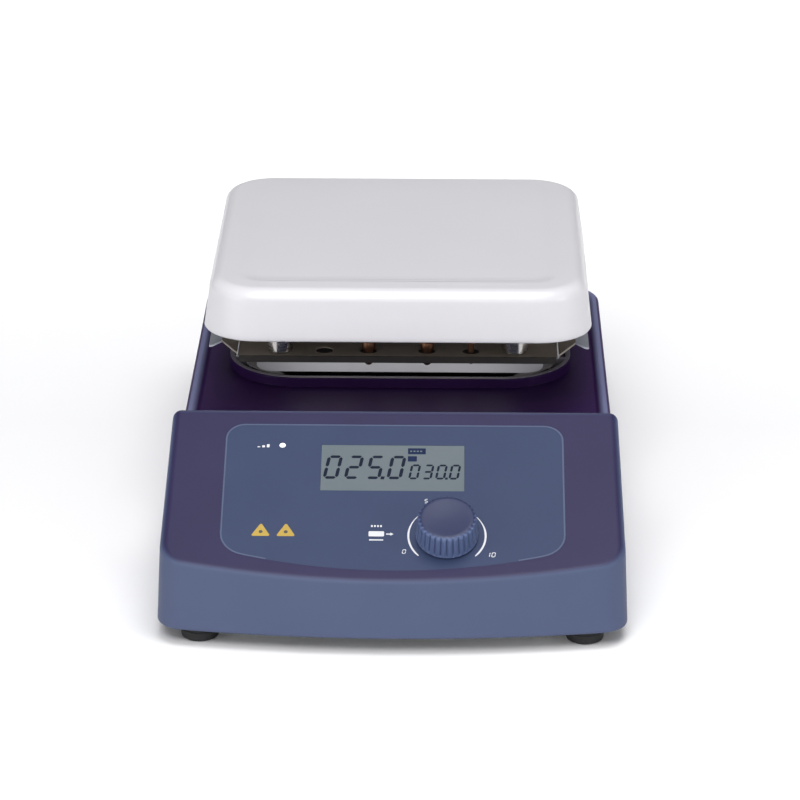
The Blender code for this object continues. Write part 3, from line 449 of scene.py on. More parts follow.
def plate(name, loops, low, high, material=None, place=None, **kind):
    """A flat piece with holes: the first loop is its outline and the others are cut through."""
    curve = bpy.data.curves.new(name, "CURVE")
    curve.dimensions = "2D"
    curve.fill_mode = "BOTH"
    curve.extrude = (high - low) / 2
    for loop in loops:
        spline = curve.splines.new("POLY")
        spline.points.add(len(loop) - 1)
        spline.use_cyclic_u = True
        for point, (x, y) in zip(spline.points, loop):
            point.co = (x, y, 0.0, 1.0)
    guide = bpy.data.objects.new(name + "_outline", curve)
    bpy.context.scene.collection.objects.link(guide)
    mesh = bpy.data.meshes.new_from_object(guide.evaluated_get(bpy.context.evaluated_depsgraph_get()))
    bpy.data.objects.remove(guide)
    verts = [(v.co.x, v.co.y, v.co.z + (low + high) / 2) for v in mesh.vertices]
    faces = [tuple(p.vertices) for p in mesh.polygons]
    return piece(name, verts, faces, material, place=place, **kind)


def cut(obj, tool, operation="DIFFERENCE"):
    """Apply a boolean at once and drop the tool."""
    step = obj.modifiers.new("Cut", "BOOLEAN")
    step.operation = operation
    step.solver = "EXACT"
    step.object = tool
    graph = bpy.context.evaluated_depsgraph_get()
    mesh = bpy.data.meshes.new_from_object(obj.evaluated_get(graph))
    obj.modifiers.remove(step)
    obj.data = mesh
    bpy.data.objects.remove(tool)
    return obj


def reshade(obj):
    obj.data.shade_smooth()
    obj.data.set_sharp_from_angle(angle=radians(30.0))
    return weighted(obj)


def block(name, low, high, material=None, place=None, edge=0.0, body="housing", stands_for=()):
    """A box, its edges eased where an edge size is given."""
    (x0, y0, z0), (x1, y1, z1) = low, high
    verts = [(x, y, z) for x in (x0, x1) for y in (y0, y1) for z in (z0, z1)]
    faces = [(0, 1, 3, 2), (4, 6, 7, 5), (0, 4, 5, 1), (2, 3, 7, 6), (0, 2, 6, 4), (1, 5, 7, 3)]
    obj = piece(name, verts, faces, material, body, 32.0, place, stands_for)
    if edge:
        soften(obj, edge)
    return obj


def soften(obj, edge, segments=3, angle=30.0):
    """Ease the sharp edges of a piece."""
    bevel = obj.modifiers.new("Edges", "BEVEL")
    bevel.width = edge * MM
    bevel.segments = segments
    bevel.limit_method = "ANGLE"
    bevel.angle_limit = radians(angle)
    bevel.harden_normals = False
    obj.data.shade_smooth()
    obj.data.set_sharp_from_angle(angle=radians(60))
    return weighted(obj)


def tube(name, route, radius, material, stands_for):
    """A round bar along a route of points, closed at both ends."""
    sides = 24
    points = [Vector(p) for p in route]
    rings = []
    side = Vector((1, 0, 0))
    for i, point in enumerate(points):
        ahead = points[min(i + 1, len(points) - 1)] - points[max(i - 1, 0)]
        ahead.normalize()
        side = (side - ahead * side.dot(ahead)).normalized()
        other = ahead.cross(side)
        rings.append([point + (side * cos(a) + other * sin(a)) * radius
                      for a in (2 * pi * k / sides for k in range(sides))])
    return lofted(name, rings, material, smooth=40.0, stands_for=stands_for)


# ---------------------------------------------------------------- hot plate

def build_plate():
    """The enamelled cap: drafted skirt, soft shoulder, a shallow valley and the flat plateau."""
    low, high = PLATE_LOW.z, PLATE_HIGH.z
    half = PLATE_HIGH.x
    wall = 4.0
    draft = PLATE_TAPER / (high - low)

    def ring(inset, height):
        size = half - inset
        corner_r = PLATE_CORNER_R - inset * 0.8
        return lifted(rectangle(size, PLATE_Y - size, PLATE_Y + size, corner_r, 12), height)

    rings = [ring(wall, high - wall - 6), ring(wall - 0.8, low + 0.8), ring(wall - 1.1, low + 0.2),
             ring(wall - 1.6, low), ring(1.2, low), ring(0.5, low + 0.25), ring(0.1, low + 0.9)]
    top_r = 6.4
    base = draft * (high - low - top_r)
    rings.append(ring(draft * 3.0, low + 3.0))
    rings.append(ring(base * 0.6, low + (high - low - top_r) * 0.6))
    steps = 8
    for k in range(steps + 1):
        angle = pi / 2 * k / steps
        rings.append(ring(base + top_r * (1 - cos(angle)), high - 0.35 - top_r * (1 - sin(angle))))
    valley = base + top_r
    for inset, height in ((0.9, 0.45), (2.0, 0.55), (3.4, 0.60), (5.0, 0.54), (6.8, 0.38), (8.6, 0.20),
                          (10.6, 0.07), (12.8, 0.01)):
        rings.append(ring(valley + inset, high - height))
        rings.append(ring(valley + 30.0, high))
    inner = [ring(wall + 4, high - wall), ring(wall + 1, high - wall - 2)]
    weighted(lofted("plate_cap", inner + rings, "plate_enamel", smooth=50.0, stands_for=("hot_plate",)))

    for side, x in (("left", -POST_X), ("right", POST_X)):
        for fore, y in zip(("front", "rear"), POST_Y):
            z_low, z_high = SHIELD_TOP + 0.3, POST_TOP
            eased = POST_R - 0.4
            spacer = [(POST_R, z_high - 0.5), (eased, z_high), (BORE_R, z_high), (BORE_R, z_low),
                      (eased, z_low), (POST_R, z_low + 0.5)]
            name = f"{fore}_{side}"
            turned("spacer_" + name, spacer, "polished_steel", at=(x, y, 0), stands_for=("post_" + name,),
                   segments=12)
            boss = [(BORE_R, POST_TOP + 0.2), (7.0, POST_TOP + 0.2), (7.6, POST_TOP + 1.3),
                    (8.4, high - wall + 1), (BORE_R, high - wall + 1)]
            turned("plate_boss_" + name, boss, "plate_enamel", at=(x, y, 0))


# ---------------------------------------------------------------- console

def console_path(inset):
    """Places on the console's outline, moved inwards, each with the way its wall faces."""
    half_w = CONSOLE_HALF_W - inset
    front = FRONT_Y + inset
    corner_r = FRONT_CORNER_R - inset

    def bow(x):
        return front + FRONT_BOW * (x / FRONT_BOW_HALF_W) ** 2

    def lean(x):
        return atan(2 * FRONT_BOW * x / FRONT_BOW_HALF_W ** 2)

    centre_x = half_w - corner_r
    slope = lean(centre_x)
    edge_x = min(centre_x + corner_r * sin(slope), half_w)
    centre_y = bow(edge_x) + corner_r * cos(slope)
    right = []
    count = 30
    for k in range(count + 1):
        x = edge_x * k / count
        right.append((x, bow(x), -pi / 2 + lean(x)))
    turns = 10
    for k in range(1, turns + 1):
        angle = -pi / 2 + slope + (pi / 2 - slope) * k / turns
        right.append((centre_x + corner_r * cos(angle), centre_y + corner_r * sin(angle), angle))
    rear = CONSOLE_REAR_Y - inset
    for k in range(1, 7):
        y = centre_y + (rear - centre_y) * k / 6
        right.append((half_w, y, 0.0))
    for k in range(1, 9):
        right.append((half_w, rear, pi / 2 * k / 8))
    for k in range(1, 7):
        right.append((half_w * (1 - k / 6), rear, pi / 2))
    left = [(-x, y, pi - a) for x, y, a in reversed(right[1:-1])]
    return right + left


def console_rings(shrink, bottom, ease):
    """Rings of the console's skin: base, wall, and a ball-rounded edge up to the sloping top."""
    radius = EDGE_R - shrink
    path = console_path(shrink + radius)
    tilt = tan(PANEL_TILT)
    drop = (shrink + radius) / cos(PANEL_TILT)
    up = Vector((0, -sin(PANEL_TILT), cos(PANEL_TILT)))
    centres, walls = [], []
    for x, y, angle in path:
        lean = FRONT_DRAFT if y < -100 else 0.0
        z = (CREST[1] + (y - lean * SHELL_BOTTOM - CREST[0]) * tilt - drop) / (1 - lean * tilt)
        y += (z - SHELL_BOTTOM) * lean
        x *= 1 - (z - SHELL_BOTTOM) * SIDE_DRAFT / CONSOLE_HALF_W
        rise = SIDE_DRAFT * abs(cos(angle)) + FRONT_DRAFT * max(0.0, -sin(angle))
        centres.append(Vector((x, y, z)))
        walls.append(Vector((cos(angle), sin(angle), rise)).normalized())

    def base_ring(inward, height):
        ring = []
        for x, y, angle in path:
            out = radius - inward
            x, y = x + out * cos(angle), y + out * sin(angle)
            lean = FRONT_DRAFT if y < -100 else 0.0
            x *= 1 - (height - SHELL_BOTTOM) * SIDE_DRAFT / CONSOLE_HALF_W
            ring.append((x, y + (height - SHELL_BOTTOM) * lean, height))
        return ring

    rings = [base_ring(ease, bottom)]
    if ease:
        steps = 4
        for k in range(1, steps + 1):
            angle = pi / 2 * k / steps
            rings.append(base_ring(ease * (1 - sin(angle)), bottom + ease * (1 - cos(angle))))
    steps = 8
    for k in range(steps + 1):
        rings.append([centre + wall.slerp(up, k / steps) * radius for centre, wall in zip(centres, walls)])
    return rings


def overlay_outline(shrink):
    """The panel film's edge, square to the slope: round corners and a bottom that sags."""
    half_w = OVERLAY_HALF_W - shrink
    sag = OVERLAY_BOTTOM_S - OVERLAY_CORNER_S
    reach = OVERLAY_HALF_W - 6.5

    def bottom(x):
        return -(OVERLAY_BOTTOM_S - shrink - sag * (x / reach) ** 2)

    arc = [(x, bottom(x), 0) for x in range(-64, 65, 8)]
    top = -(OVERLAY_TOP_S + shrink)
    top_r, bottom_r = OVERLAY_TOP_R - shrink, OVERLAY_BOTTOM_R - shrink
    corners = [(half_w, top, top_r), (-half_w, top, top_r),
               (-half_w, bottom(half_w), bottom_r), *arc, (half_w, bottom(half_w), bottom_r)]
    return fillet(corners)


def build_console():
    skin = console_rings(0.0, SHELL_BOTTOM, 1.5)
    shell = lofted("console_cover", skin, "console_paint", stands_for=("console_shell",))
    cut(shell, lofted("console_hollow", console_rings(2.5, SHELL_BOTTOM - 1, 0.0), None))
    cut(shell, prism("overlay_recess", overlay_outline(0.0), -0.9, 3.0, place=PANEL))
    half_w, top, bottom = WINDOW
    cut(shell, prism("window_hole", rectangle(half_w, -bottom, -top, 0.4, 8, WINDOW_X), -6, 3, place=PANEL))
    for radius, (x, s) in ((3.9, (KNOB_X, KNOB_S)), (LED_HOLE_R, LED)):
        cut(shell, prism("panel_hole", circle(x, -s, radius), -6, 3, place=PANEL))
    cut(shell, block("cable_way", (-40, -85, 16), (40, -76, 38)))
    cut(shell, block("cover_way", (-98, -84, 6), (98, -73, COVER_TOP)))
    for x in (-FOOT_X, FOOT_X):
        cut(shell, prism("console_boss", circle(x, FOOT_Y[0], BOSS_R), COVER_TOP, 36.0), "UNION")
        cut(shell, prism("console_boss_hole", circle(x, FOOT_Y[0], BORE_R), COVER_TOP - 0.3, 20.0))
    reshade(shell)


# ---------------------------------------------------------------- panel, display and knob

def strip(name, centre_line, widths, low, high, material):
    """A flat open band on the panel, along a line of points with a width at each."""
    count = len(centre_line)
    left, right = [], []
    for i, (x, y) in enumerate(centre_line):
        before = centre_line[max(i - 1, 0)]
        after = centre_line[min(i + 1, count - 1)]
        along = Vector((after[0] - before[0], after[1] - before[1])).normalized()
        side = Vector((-along.y, along.x)) * widths[i] / 2
        left.append((x + side.x, y + side.y))
        right.append((x - side.x, y - side.y))
    outline = left + right[::-1]
    verts, faces = [], []
    for height in (low, high):
        verts += lifted(outline, height)
    total = len(outline)
    for i in range(total):
        j = (i + 1) % total
        faces.append((i, j, total + j, total + i))
    for i in range(count - 1):
        a, b = i, i + 1
        c, d = total - 2 - i, total - 1 - i
        faces.append((d, c, b, a))
        faces.append((total + a, total + b, total + c, total + d))
    return piece(name, verts, faces, material, place=PANEL)


INK = (0.0, 0.04)             # prints lie on the film, this low and this high


def bars(name, outlines, material, heights=INK):
    """One piece of several flat outlines on the panel, such as the marks of one print."""
    verts, faces = [], []
    for outline in outlines:
        some_verts, some_faces = loft([lifted(outline, h) for h in heights])
        start = len(verts)
        verts += some_verts
        faces += [tuple(start + i for i in face) for face in some_faces]
    return piece(name, verts, faces, material, place=PANEL)


def box_outline(x0, x1, s0, s1, radius=0.25):
    return rectangle((x1 - x0) / 2, -s1, -s0, radius, 3, (x0 + x1) / 2)


SEGMENTS = {"0": "abcdef", "1": "bc", "2": "abged", "3": "abgcd", "5": "afgcd"}


def digit_outlines(text, x, s_base, width, height, pitch, stroke):
    """Seven-segment figures, slanted, as outlines; a point takes no place of its own."""
    slant = 0.16
    gap = stroke * 0.16
    outlines = []
    half = height / 2

    def put(points, left):
        outlines.append([(left + px + py * slant, -s_base + py) for px, py in points])

    def level(y):
        a, b, t = gap, width - gap, stroke / 2
        return [(a + t, y - t), (b - t, y - t), (b, y), (b - t, y + t), (a + t, y + t), (a, y)]

    def upright(px, y0, y1):
        t = stroke / 2
        return [(px, y0 + gap), (px + t, y0 + gap + t), (px + t, y1 - gap - t), (px, y1 - gap),
                (px - t, y1 - gap - t), (px - t, y0 + gap + t)]

    shapes = {"a": level(height), "g": level(half), "d": level(0),
              "b": upright(width, half, height), "c": upright(width, 0, half),
              "e": upright(0, 0, half), "f": upright(0, half, height)}
    left = x
    for letter in text:
        if letter == ".":
            dot_x = left - pitch + width + stroke * 1.1
            t = stroke * 0.55
            put([(dot_x - t, -t), (dot_x + t, -t), (dot_x + t, t), (dot_x - t, t)], 0)
            continue
        for key in SEGMENTS[letter]:
            put(shapes[key], left)
        left += pitch
    return outlines


def build_panel():
    half_w, top, bottom = WINDOW
    loops = [overlay_outline(0.06), rectangle(half_w, -bottom, -top, 0.4, 8, WINDOW_X),
             circle(KNOB_X, -KNOB_S, 7.0), circle(LED[0], -LED[1], LED_HOLE_R)]
    plate("overlay_sheet", loops, -0.6, 0.0, "overlay_film", PANEL, stands_for=("panel_overlay",))
    # Painted highlight: a paler strip along the film's edge, left off the middle of its bottom.
    edge = overlay_outline(0.1)
    inner = overlay_outline(0.8)
    wanted = [i for i, (x, y) in enumerate(edge) if y > -OVERLAY_BOTTOM_S + 6.0 or abs(x) > 66]
    start = next(i for i in wanted if i - 1 not in wanted and i > 0)
    order = [i for i in range(start, start + len(edge)) if i % len(edge) in wanted]
    line = [((edge[i % len(edge)][0] + inner[i % len(edge)][0]) / 2,
             (edge[i % len(edge)][1] + inner[i % len(edge)][1]) / 2) for i in order]
    strip("overlay_edge_highlight", line, [0.7] * len(line), *INK, "overlay_line")

    build_display()
    lamp = PANEL @ Matrix.Translation((LED[0], -LED[1], 0))
    lens = [(0, 0.5), (0.5, 0.46), (1.0, 0.3), (1.35, 0.0), (1.5, -0.4), (1.8, -0.6), (1.8, -9.2), (0, -9.2)]
    turned("led_lens", lens, "lens_white", place=lamp, segments=32, stands_for=("heat_led",))
    turned("led_ring", [(2.18, 0.02), (1.5, 0.02), (1.55, -0.35), (2.18, -0.35)], "overlay_film",
           place=lamp, segments=32)

    # A short generic tag beside the lamp: three rising bars
    tag = [box_outline(-62.3 + 2.1 * k, -61.0 + 2.1 * k, 21.9 - 0.7 * k, 22.4) for k in range(3)]
    bars("lamp_mark", tag, "print_white")

    # Two blank triangles
    for k, x in enumerate((-58.8, -47.6)):
        corners = [(x - 4.4, -75.4, 0.6), (x + 4.4, -75.4, 0.6), (x, -67.7, 0.6)]
        bars(f"triangle_{k}", [fillet(corners, 4)], "print_yellow")
        bars(f"triangle_dot_{k}", [circle(x, -72.9, 0.9, 16)], "print_dark", (INK[1], INK[1] + 0.02))

    # Press symbol: a rounded key with a mark above it and one below
    bars("press_key", [box_outline(-10.7, -3.8, 72.2, 75.2, 0.5)], "print_white")
    marks = [box_outline(-9.7 + 1.35 * k, -8.9 + 1.35 * k, 68.6, 69.7, 0.1) for k in range(4)]
    marks += [box_outline(-10.4, -4.1, 76.9, 77.6, 0.2)]
    marks += [box_outline(-2.9, -0.9, 73.5, 74.1, 0.1)]
    marks += [fillet([(-1.0, -72.9, 0), (0.4, -73.8, 0), (-1.0, -74.7, 0)])]
    bars("press_marks", marks, "print_white")

    build_dial()


def build_dial():
    """The scale round the knob: two arcs that narrow at their ends, and three figures."""
    radius = 17.2
    count = 40
    for side, sign in (("left", -1), ("right", 1)):
        line, widths = [], []
        for k in range(count + 1):
            share = k / count
            angle = radians(50 + (133 - 50) * share)
            line.append((KNOB_X + sign * radius * sin(angle), -KNOB_S + radius * cos(angle)))
            widths.append(0.25 + 0.6 * min(1.0, share * 2.5, (1 - share) * 6 + 0.4))
        strip("dial_arc_" + side, line, widths, *INK, "print_white")
    for name, *figures in (("low", "0", 4.4, 85.0, 1.3, 2.2, 2.2, 0.36),
                           ("high", "10", 41.6, 86.6, 1.4, 2.4, 2.4, 0.4),
                           ("middle", "5", 14.0, 55.2, 1.2, 2.1, 2.2, 0.36)):
        bars(f"dial_{name}_mark", digit_outlines(*figures), "print_white")


def build_display():
    """The window flush with the film, and figures just under its glass."""
    half_w, top, bottom = WINDOW
    gap = 0.08
    outline = rectangle(half_w - gap, -bottom + gap, -top - gap, 0.3, 8, WINDOW_X)
    prism("display_pane", outline, -3.0, -0.05, "display_glass", PANEL, stands_for=("display_window",))
    ink = (-0.05, -0.02)
    large = digit_outlines("025.0", -31.4, 40.4, 5.4, 12.6, 9.6, 1.55)
    bars("display_large_figures", large, "lcd_ink", ink)
    small = digit_outlines("030.0", 7.0, 40.6, 3.5, 7.9, 6.05, 1.05)
    bars("display_small_figures", small, "lcd_ink", ink)
    badges = [box_outline(6.2, 14.3, 22.4, 26.0, 0.3), box_outline(6.2, 10.3, 27.2, 30.4, 0.3)]
    bars("display_badges", badges, "lcd_badge", ink)
    lines = [box_outline(7.2 + 1.5 * k, 8.1 + 1.5 * k, 23.8, 24.6, 0.1) for k in range(4)]
    bars("display_badge_marks", lines, "display_glass", (-0.02, -0.01))


FLUTES = 30


def build_knob():
    """Domed cap, fluted side and a plain skirt, on the push-and-turn shaft."""
    foot, top = 1.0, 12.5
    cap_r, base_r = 13.2, 14.0
    dome_r, flute_r = 10.9, 11.6        # the smooth dome's edge, and where the flutes begin
    shoulder = top - 1.7

    def ripple(radius, height, angle):
        if radius < flute_r:
            return radius
        share = (shoulder - height) / (shoulder - foot)
        depth = 0.95 * min(1.0, max(0.0, (radius - flute_r) / 1.5)) * min(1.0, max(0.0, (1 - share) * 9))
        wave = abs(cos(angle * FLUTES / 2)) ** 0.5
        return radius - depth * (1 - wave)

    dome = []
    for k in range(11):
        share = k / 10
        dome.append((dome_r * share, top - 0.55 + 0.55 * share ** 2 * (1.4 - 0.4 * share)))
    edge = []
    for k in range(1, 8):
        angle = pi / 2 * k / 7
        edge.append((dome_r + (cap_r - dome_r) * sin(angle), top - (top - shoulder) * (1 - cos(angle))))
    side = []
    for k in range(1, 15):
        share = k / 14
        side.append((cap_r + (base_r - cap_r) * share ** 1.2, shoulder + (foot - shoulder) * share))
    inside = [(base_r - 0.3, foot), (base_r - 2.2, foot), (base_r - 2.4, top - 3.0), (5.6, top - 3.0),
              (5.6, foot + 3.5), (3.25, foot + 3.5), (3.25, top - 2.0), (0, top - 2.0)]
    place = PANEL @ Matrix.Translation((KNOB_X, -KNOB_S, 0))
    weighted(turned("dial_knob", dome + edge + side + inside, "knob_plastic", "knob", place, FLUTES * 10,
                    stands_for=("knob",), smooth=50.0, ripple=ripple))


# ---------------------------------------------------------------- rear housing

def u_path(inset):
    """The housing's wall from its front left corner round the rear to its front right corner."""
    steps = 12
    half_w = HOUSING_HALF_W - inset
    radius = max(REAR_CORNER_R - inset, 0.5)
    rear = REAR_Y - inset
    sides = 10
    straight = [(-half_w, HOUSING_FRONT_Y + (rear - radius - HOUSING_FRONT_Y) * k / sides)
                for k in range(sides)]
    arc = [(-half_w + radius - radius * cos(pi / 2 * k / steps),
            rear - radius + radius * sin(pi / 2 * k / steps)) for k in range(steps + 1)]
    left = straight + arc
    return left + [(-x, y) for x, y in reversed(left)]


def rim_profile():
    """Inset and height along the wall: base, upright, rounded rim, and a soft fall to the deck."""
    points = [(1.2, SHELL_BOTTOM), (0.4, SHELL_BOTTOM + 0.3), (0.0, SHELL_BOTTOM + 1.2), (0.0, 20.0),
              (0.0, RIM_TOP - 8)]
    outer_r = 1.7
    for k in range(7):
        angle = pi / 2 * k / 6
        points.append((outer_r * (1 - cos(angle)), RIM_TOP - outer_r * (1 - sin(angle))))
    fall = 4.2
    steps = 12
    for k in range(1, steps + 1):
        share = k / steps
        curve = share * share * (3 - 2 * share)
        points.append((2.6 + fall * share, RIM_TOP - 0.05 - (RIM_TOP - DECK_TOP - 0.05) * curve))
    return points


def collar_ring(inset, height):
    half_w, front, rear, radius = COLLAR
    return lifted(rectangle(half_w - inset, front + inset, rear - inset, radius - inset, 16), height)


def build_housing():
    profile = rim_profile()
    rows = [lifted(u_path(inset), height) for inset, height in profile]
    count = len(rows[0])
    verts = [v for row in rows for v in row]
    faces = []
    for k in range(len(rows) - 1):
        for i in range(count - 1):
            a, b = k * count + i, (k + 1) * count + i
            faces.append((a, a + 1, b + 1, b))
    last = (len(rows) - 1) * count
    faces.append(tuple(range(last, last + count)))
    faces.append(tuple(reversed(range(count))))
    left_end = [k * count for k in range(len(rows))]
    right_end = [k * count + count - 1 for k in range(len(rows))]
    faces.append(tuple(left_end + right_end[::-1]))
    shell = piece("housing_cover", verts, faces, "housing_paint", stands_for=("rear_housing",))
    weighted(shell)
    hollow = [(x, y + (3.0 if y < HOUSING_FRONT_Y + 0.01 else 0)) for x, y in u_path(3.0)]
    cut(shell, prism("housing_hollow", hollow, SHELL_BOTTOM - 1, 43.0))

    # The collar round the plate's supports, with a soft foot and an eased lip
    wall = 2.0
    foot = 0.5
    rings = [collar_ring(wall, DECK_TOP - 2), collar_ring(-foot, DECK_TOP - 2)]
    for k in range(7):
        angle = pi / 2 * k / 6
        rings.append(collar_ring(-foot * (1 - sin(angle)), DECK_TOP - 0.15 + foot * (1 - cos(angle))))
    rings += [collar_ring(0, COLLAR_TOP - 1.0), collar_ring(0.15, COLLAR_TOP - 0.6),
              collar_ring(0.4, COLLAR_TOP - 0.4), collar_ring(wall - 0.2, COLLAR_TOP - 0.4),
              collar_ring(wall, COLLAR_TOP - 0.6)]
    cut(shell, lofted("collar_ring", rings, None, wrap=True), "UNION")

    for x, y in PILLARS:
        cut(shell, prism("pillar", circle(x, y, BOSS_R, 24), DECK_TOP - 1, SHIELD_TOP - 1.3), "UNION")
        cut(shell, prism("pillar_hole", circle(x, y, PILLAR_BORE_R, 16), 66.0, SHIELD_TOP))
    for x in (-FOOT_X, FOOT_X):
        cut(shell, prism("foot_boss", circle(x, FOOT_Y[1], BOSS_R, 24), COVER_TOP, 44.0), "UNION")
        cut(shell, prism("foot_hole", circle(x, FOOT_Y[1], BORE_R, 16), COVER_TOP - 0.3, 20.0))
    cut(shell, prism("shaft_hole", circle(0, PLATE_Y, 4.0, 24), 42.0, 48.0))
    for x in LEAD_X[1:]:
        cut(shell, prism("lead_hole", circle(x, LEAD_REAR_Y, 4.0, 24), 42.0, 48.0))
    # Ways for the cable, a slot in the deck between collar and tray, the cover, the inlet, the switch
    ways = [((-40, -81, 16), (40, -74, 38)), ((-58, 34.3, 42), (58, 37.0, 48)),
            ((-98, -84, 6), (98, -73, COVER_TOP)),
            ((INLET_X - 14.3, 170, 16.3), (INLET_X + 14.3, 180, 38.7)),
            ((SWITCH_X - 7.3, 170, 17.3), (SWITCH_X + 7.3, 180, 37.7))]
    for low, high in ways:
        cut(shell, block("way", low, high))
    cut(shell, prism("sensor_hole", circle(0, 0, 8.3), -9, 5, place=rear_place(SENSOR_X)))
    reshade(shell)

    # Bright steel liner inside the collar, its edge folded out over the painted wall
    lip = [collar_ring(0.45, COLLAR_TOP - 0.38), collar_ring(0.35, COLLAR_TOP - 0.25),
           collar_ring(0.45, COLLAR_TOP - 0.05), collar_ring(0.7, COLLAR_TOP),
           collar_ring(wall + 0.35, COLLAR_TOP), collar_ring(wall + 0.6, COLLAR_TOP - 0.2),
           collar_ring(wall + 0.6, 48.0), collar_ring(wall + 0.05, 48.0),
           collar_ring(wall + 0.05, COLLAR_TOP - 0.38)]
    lofted("collar_liner", lip, "liner_steel", wrap=True)


# ---------------------------------------------------------------- shield, tray and leads

def build_shield():
    """Dark steel sheet under the plate, with a pale strip painting a highlight along each fold, and flared
    wings at each side.
    """
    thick = 1.0
    front, rear = PLATE_Y - 79.0, PLATE_Y + 79.0
    top = SHIELD_TOP
    wing_front, wing_rear = 19.0, 131.0
    fold_x = 77.2                       # where the fold down to the ledge ends
    tip_x, tip_r, tip_fall = 92.6, 3.5, 3.5

    holes = [circle(x, LEAD_Y, 4.5, 28) for x in LEAD_X] + [circle(0, PLATE_Y, 9.0)]
    holes += [circle(x, y, BORE_R, 16) for x in (-POST_X, POST_X) for y in POST_Y]
    holes += [circle(x, y, PILLAR_BORE_R, 16) for x, y in PILLARS]
    outline = rectangle(76.0, front + 0.95, rear, 1.0, 4)
    plate("shield_sheet", [outline, *holes], top - thick, top, "shield_steel", stands_for=("heat_shield",))
    for k, x in enumerate(LEAD_X):
        rings = [lifted(circle(x, LEAD_Y, r, 28), z) for r, z in
                 ((4.5, top - thick), (4.9, top), (4.6, top + 0.15), (4.2, top - 0.1), (4.1, top - thick))]
        lofted(f"shield_grommet_{k}", rings, "shield_steel", wrap=True)
        # A near-black disc in each lead hole paints the shade beneath the shield.
        disc = [(0, top - 0.5), (4.0, top - 0.5), (4.0, top - 0.95), (0, top - 0.95)]
        turned(f"shield_hole_painted_shade_{k}", disc, "dark_gap", at=(x, LEAD_Y, 0))

    # A downturned lip on the shield's front edge, coloured near black as painted shade.
    lip_low = top - thick - 2.2
    block("shield_lip_painted_shade", (-75.6, front, lip_low), (75.6, front + 0.9, top - 0.05), "painted_shade_steel")

    ledge = top - SHIELD_DROP
    back = 20.0
    for side, sign in (("left", -1), ("right", 1)):
        # The fold down to the ledge, its front and rear edges cut back at a slant
        fold = [(75.9, top - 0.35), (76.6, top - 1.2), (fold_x + 0.2, ledge)]
        fold += [(x - 0.8, z - 0.3) for x, z in reversed(fold)]
        rows = [[(sign * x, edge - end * (0.3 + back * (top - z) / SHIELD_DROP), z) for x, z in fold]
                for end, edge in ((-1, front), (1, rear))]
        lofted("shield_fold_" + side, rows, "shield_steel")
        # A pale strip over the top of each fold paints its highlight.
        bend = [(75.8, top), (76.3, top - 0.12), (76.7, top - 0.7), (75.8, top - 0.7)]
        rows = [[(sign * x, y, z) for x, z in bend] for y in (front + 0.6, rear - 0.6)]
        lofted("shield_bend_highlight_" + side, rows, "wing_steel_and_fold_highlight")

        # Middle part of the wing: its front corner is cut back at a slant
        flat = [(fold_x, front + back), (SHIELD_LEDGE_X, wing_front), (SHIELD_LEDGE_X, wing_rear),
                (fold_x, rear - back)]
        rows = [[(sign * x, y, z) for x, y in flat] for z in (ledge - thick, ledge)]
        lofted("shield_ledge_" + side, rows, "shield_steel")

        # The flared tip, with round corners
        inner = SHIELD_LEDGE_X - 0.2
        tip = fillet([(inner, wing_front, 0.0), (tip_x, wing_front, tip_r), (tip_x, wing_rear, tip_r),
                      (inner, wing_rear, 0.0)])
        slope = tip_fall / (tip_x - inner)
        rings = [[(sign * x, y, ledge - under - (x - inner) * slope) for x, y in tip]
                 for under in (thick, 0.0)]
        lofted("shield_wing_" + side, rings, "wing_steel_and_fold_highlight")


def tray_ring(grow, height):
    """The tray's outline; its sides flare out and stay inside the collar's round corners."""
    half_w, front, rear, radius = TRAY
    collar_w, collar_front, collar_rear, collar_r = COLLAR
    corner_x = collar_w - collar_r
    room = collar_r - 2.9               # clear of the collar's wall and its liner
    ring = []
    for x, y in rectangle(half_w, front, rear, radius, 10):
        side = 1 if x > 0 else -1
        x += side * grow * min(1.0, abs(x) / 60.0) ** 6
        corner_y = min(max(y, collar_front + collar_r), collar_rear - collar_r)
        across, along = abs(x) - corner_x, y - corner_y
        reach = (across ** 2 + along ** 2) ** 0.5
        if across > 0 and along != 0 and reach > room:
            x = side * (corner_x + across * room / reach)
            y = corner_y + along * room / reach
        ring.append((x, y, height))
    return ring


def build_tray():
    """Bright pan under the shield: a flat floor, side walls flared up, and a gusset at each side."""
    top = TRAY_TOP
    half_w, front, rear, radius = TRAY
    holes = [circle(x, y, BOSS_R + 0.6, 24) for x, y in PILLARS]
    holes += [circle(0, PLATE_Y, 5.0, 24)] + [circle(x, LEAD_REAR_Y, 3.2, 24) for x in LEAD_X[1:]]
    floor = rectangle(half_w, front, rear, radius, 10)
    plate("pan_floor", [floor, *holes], top - 0.8, top, "tray_steel", stands_for=("reflector_tray",))
    walls = [(0.02, top - 0.05), (1.4, top + 0.3), (5.0, top + 1.5), (5.0, top + 1.1), (1.4, top - 0.3),
             (0.02, top - 0.75)]
    # Painted shade: the flared walls are the floor's steel in a much darker tone.
    lofted("pan_flare", [tray_ring(g, z) for g, z in walls], "pan_steel_painted_shade", wrap=True, smooth=60.0)
    for side, sign in (("left", -1), ("right", 1)):
        low, high = sorted((sign * (half_w + 1.5), sign * (COLLAR[0] - 2.7)))
        block("pan_gusset_" + side, (low, 60.0, 47.0), (high, 60.8, top + 1.3), "liner_steel")
        # Skids under the flare, in the same darker painted-shade steel.
        low, high = sorted((sign * (half_w + 3.0), sign * (half_w + 4.0)))
        block("pan_skid_" + side, (low, 55.0, DECK_TOP + 0.3), (high, 140.0, top + 0.2), "pan_steel_painted_shade")


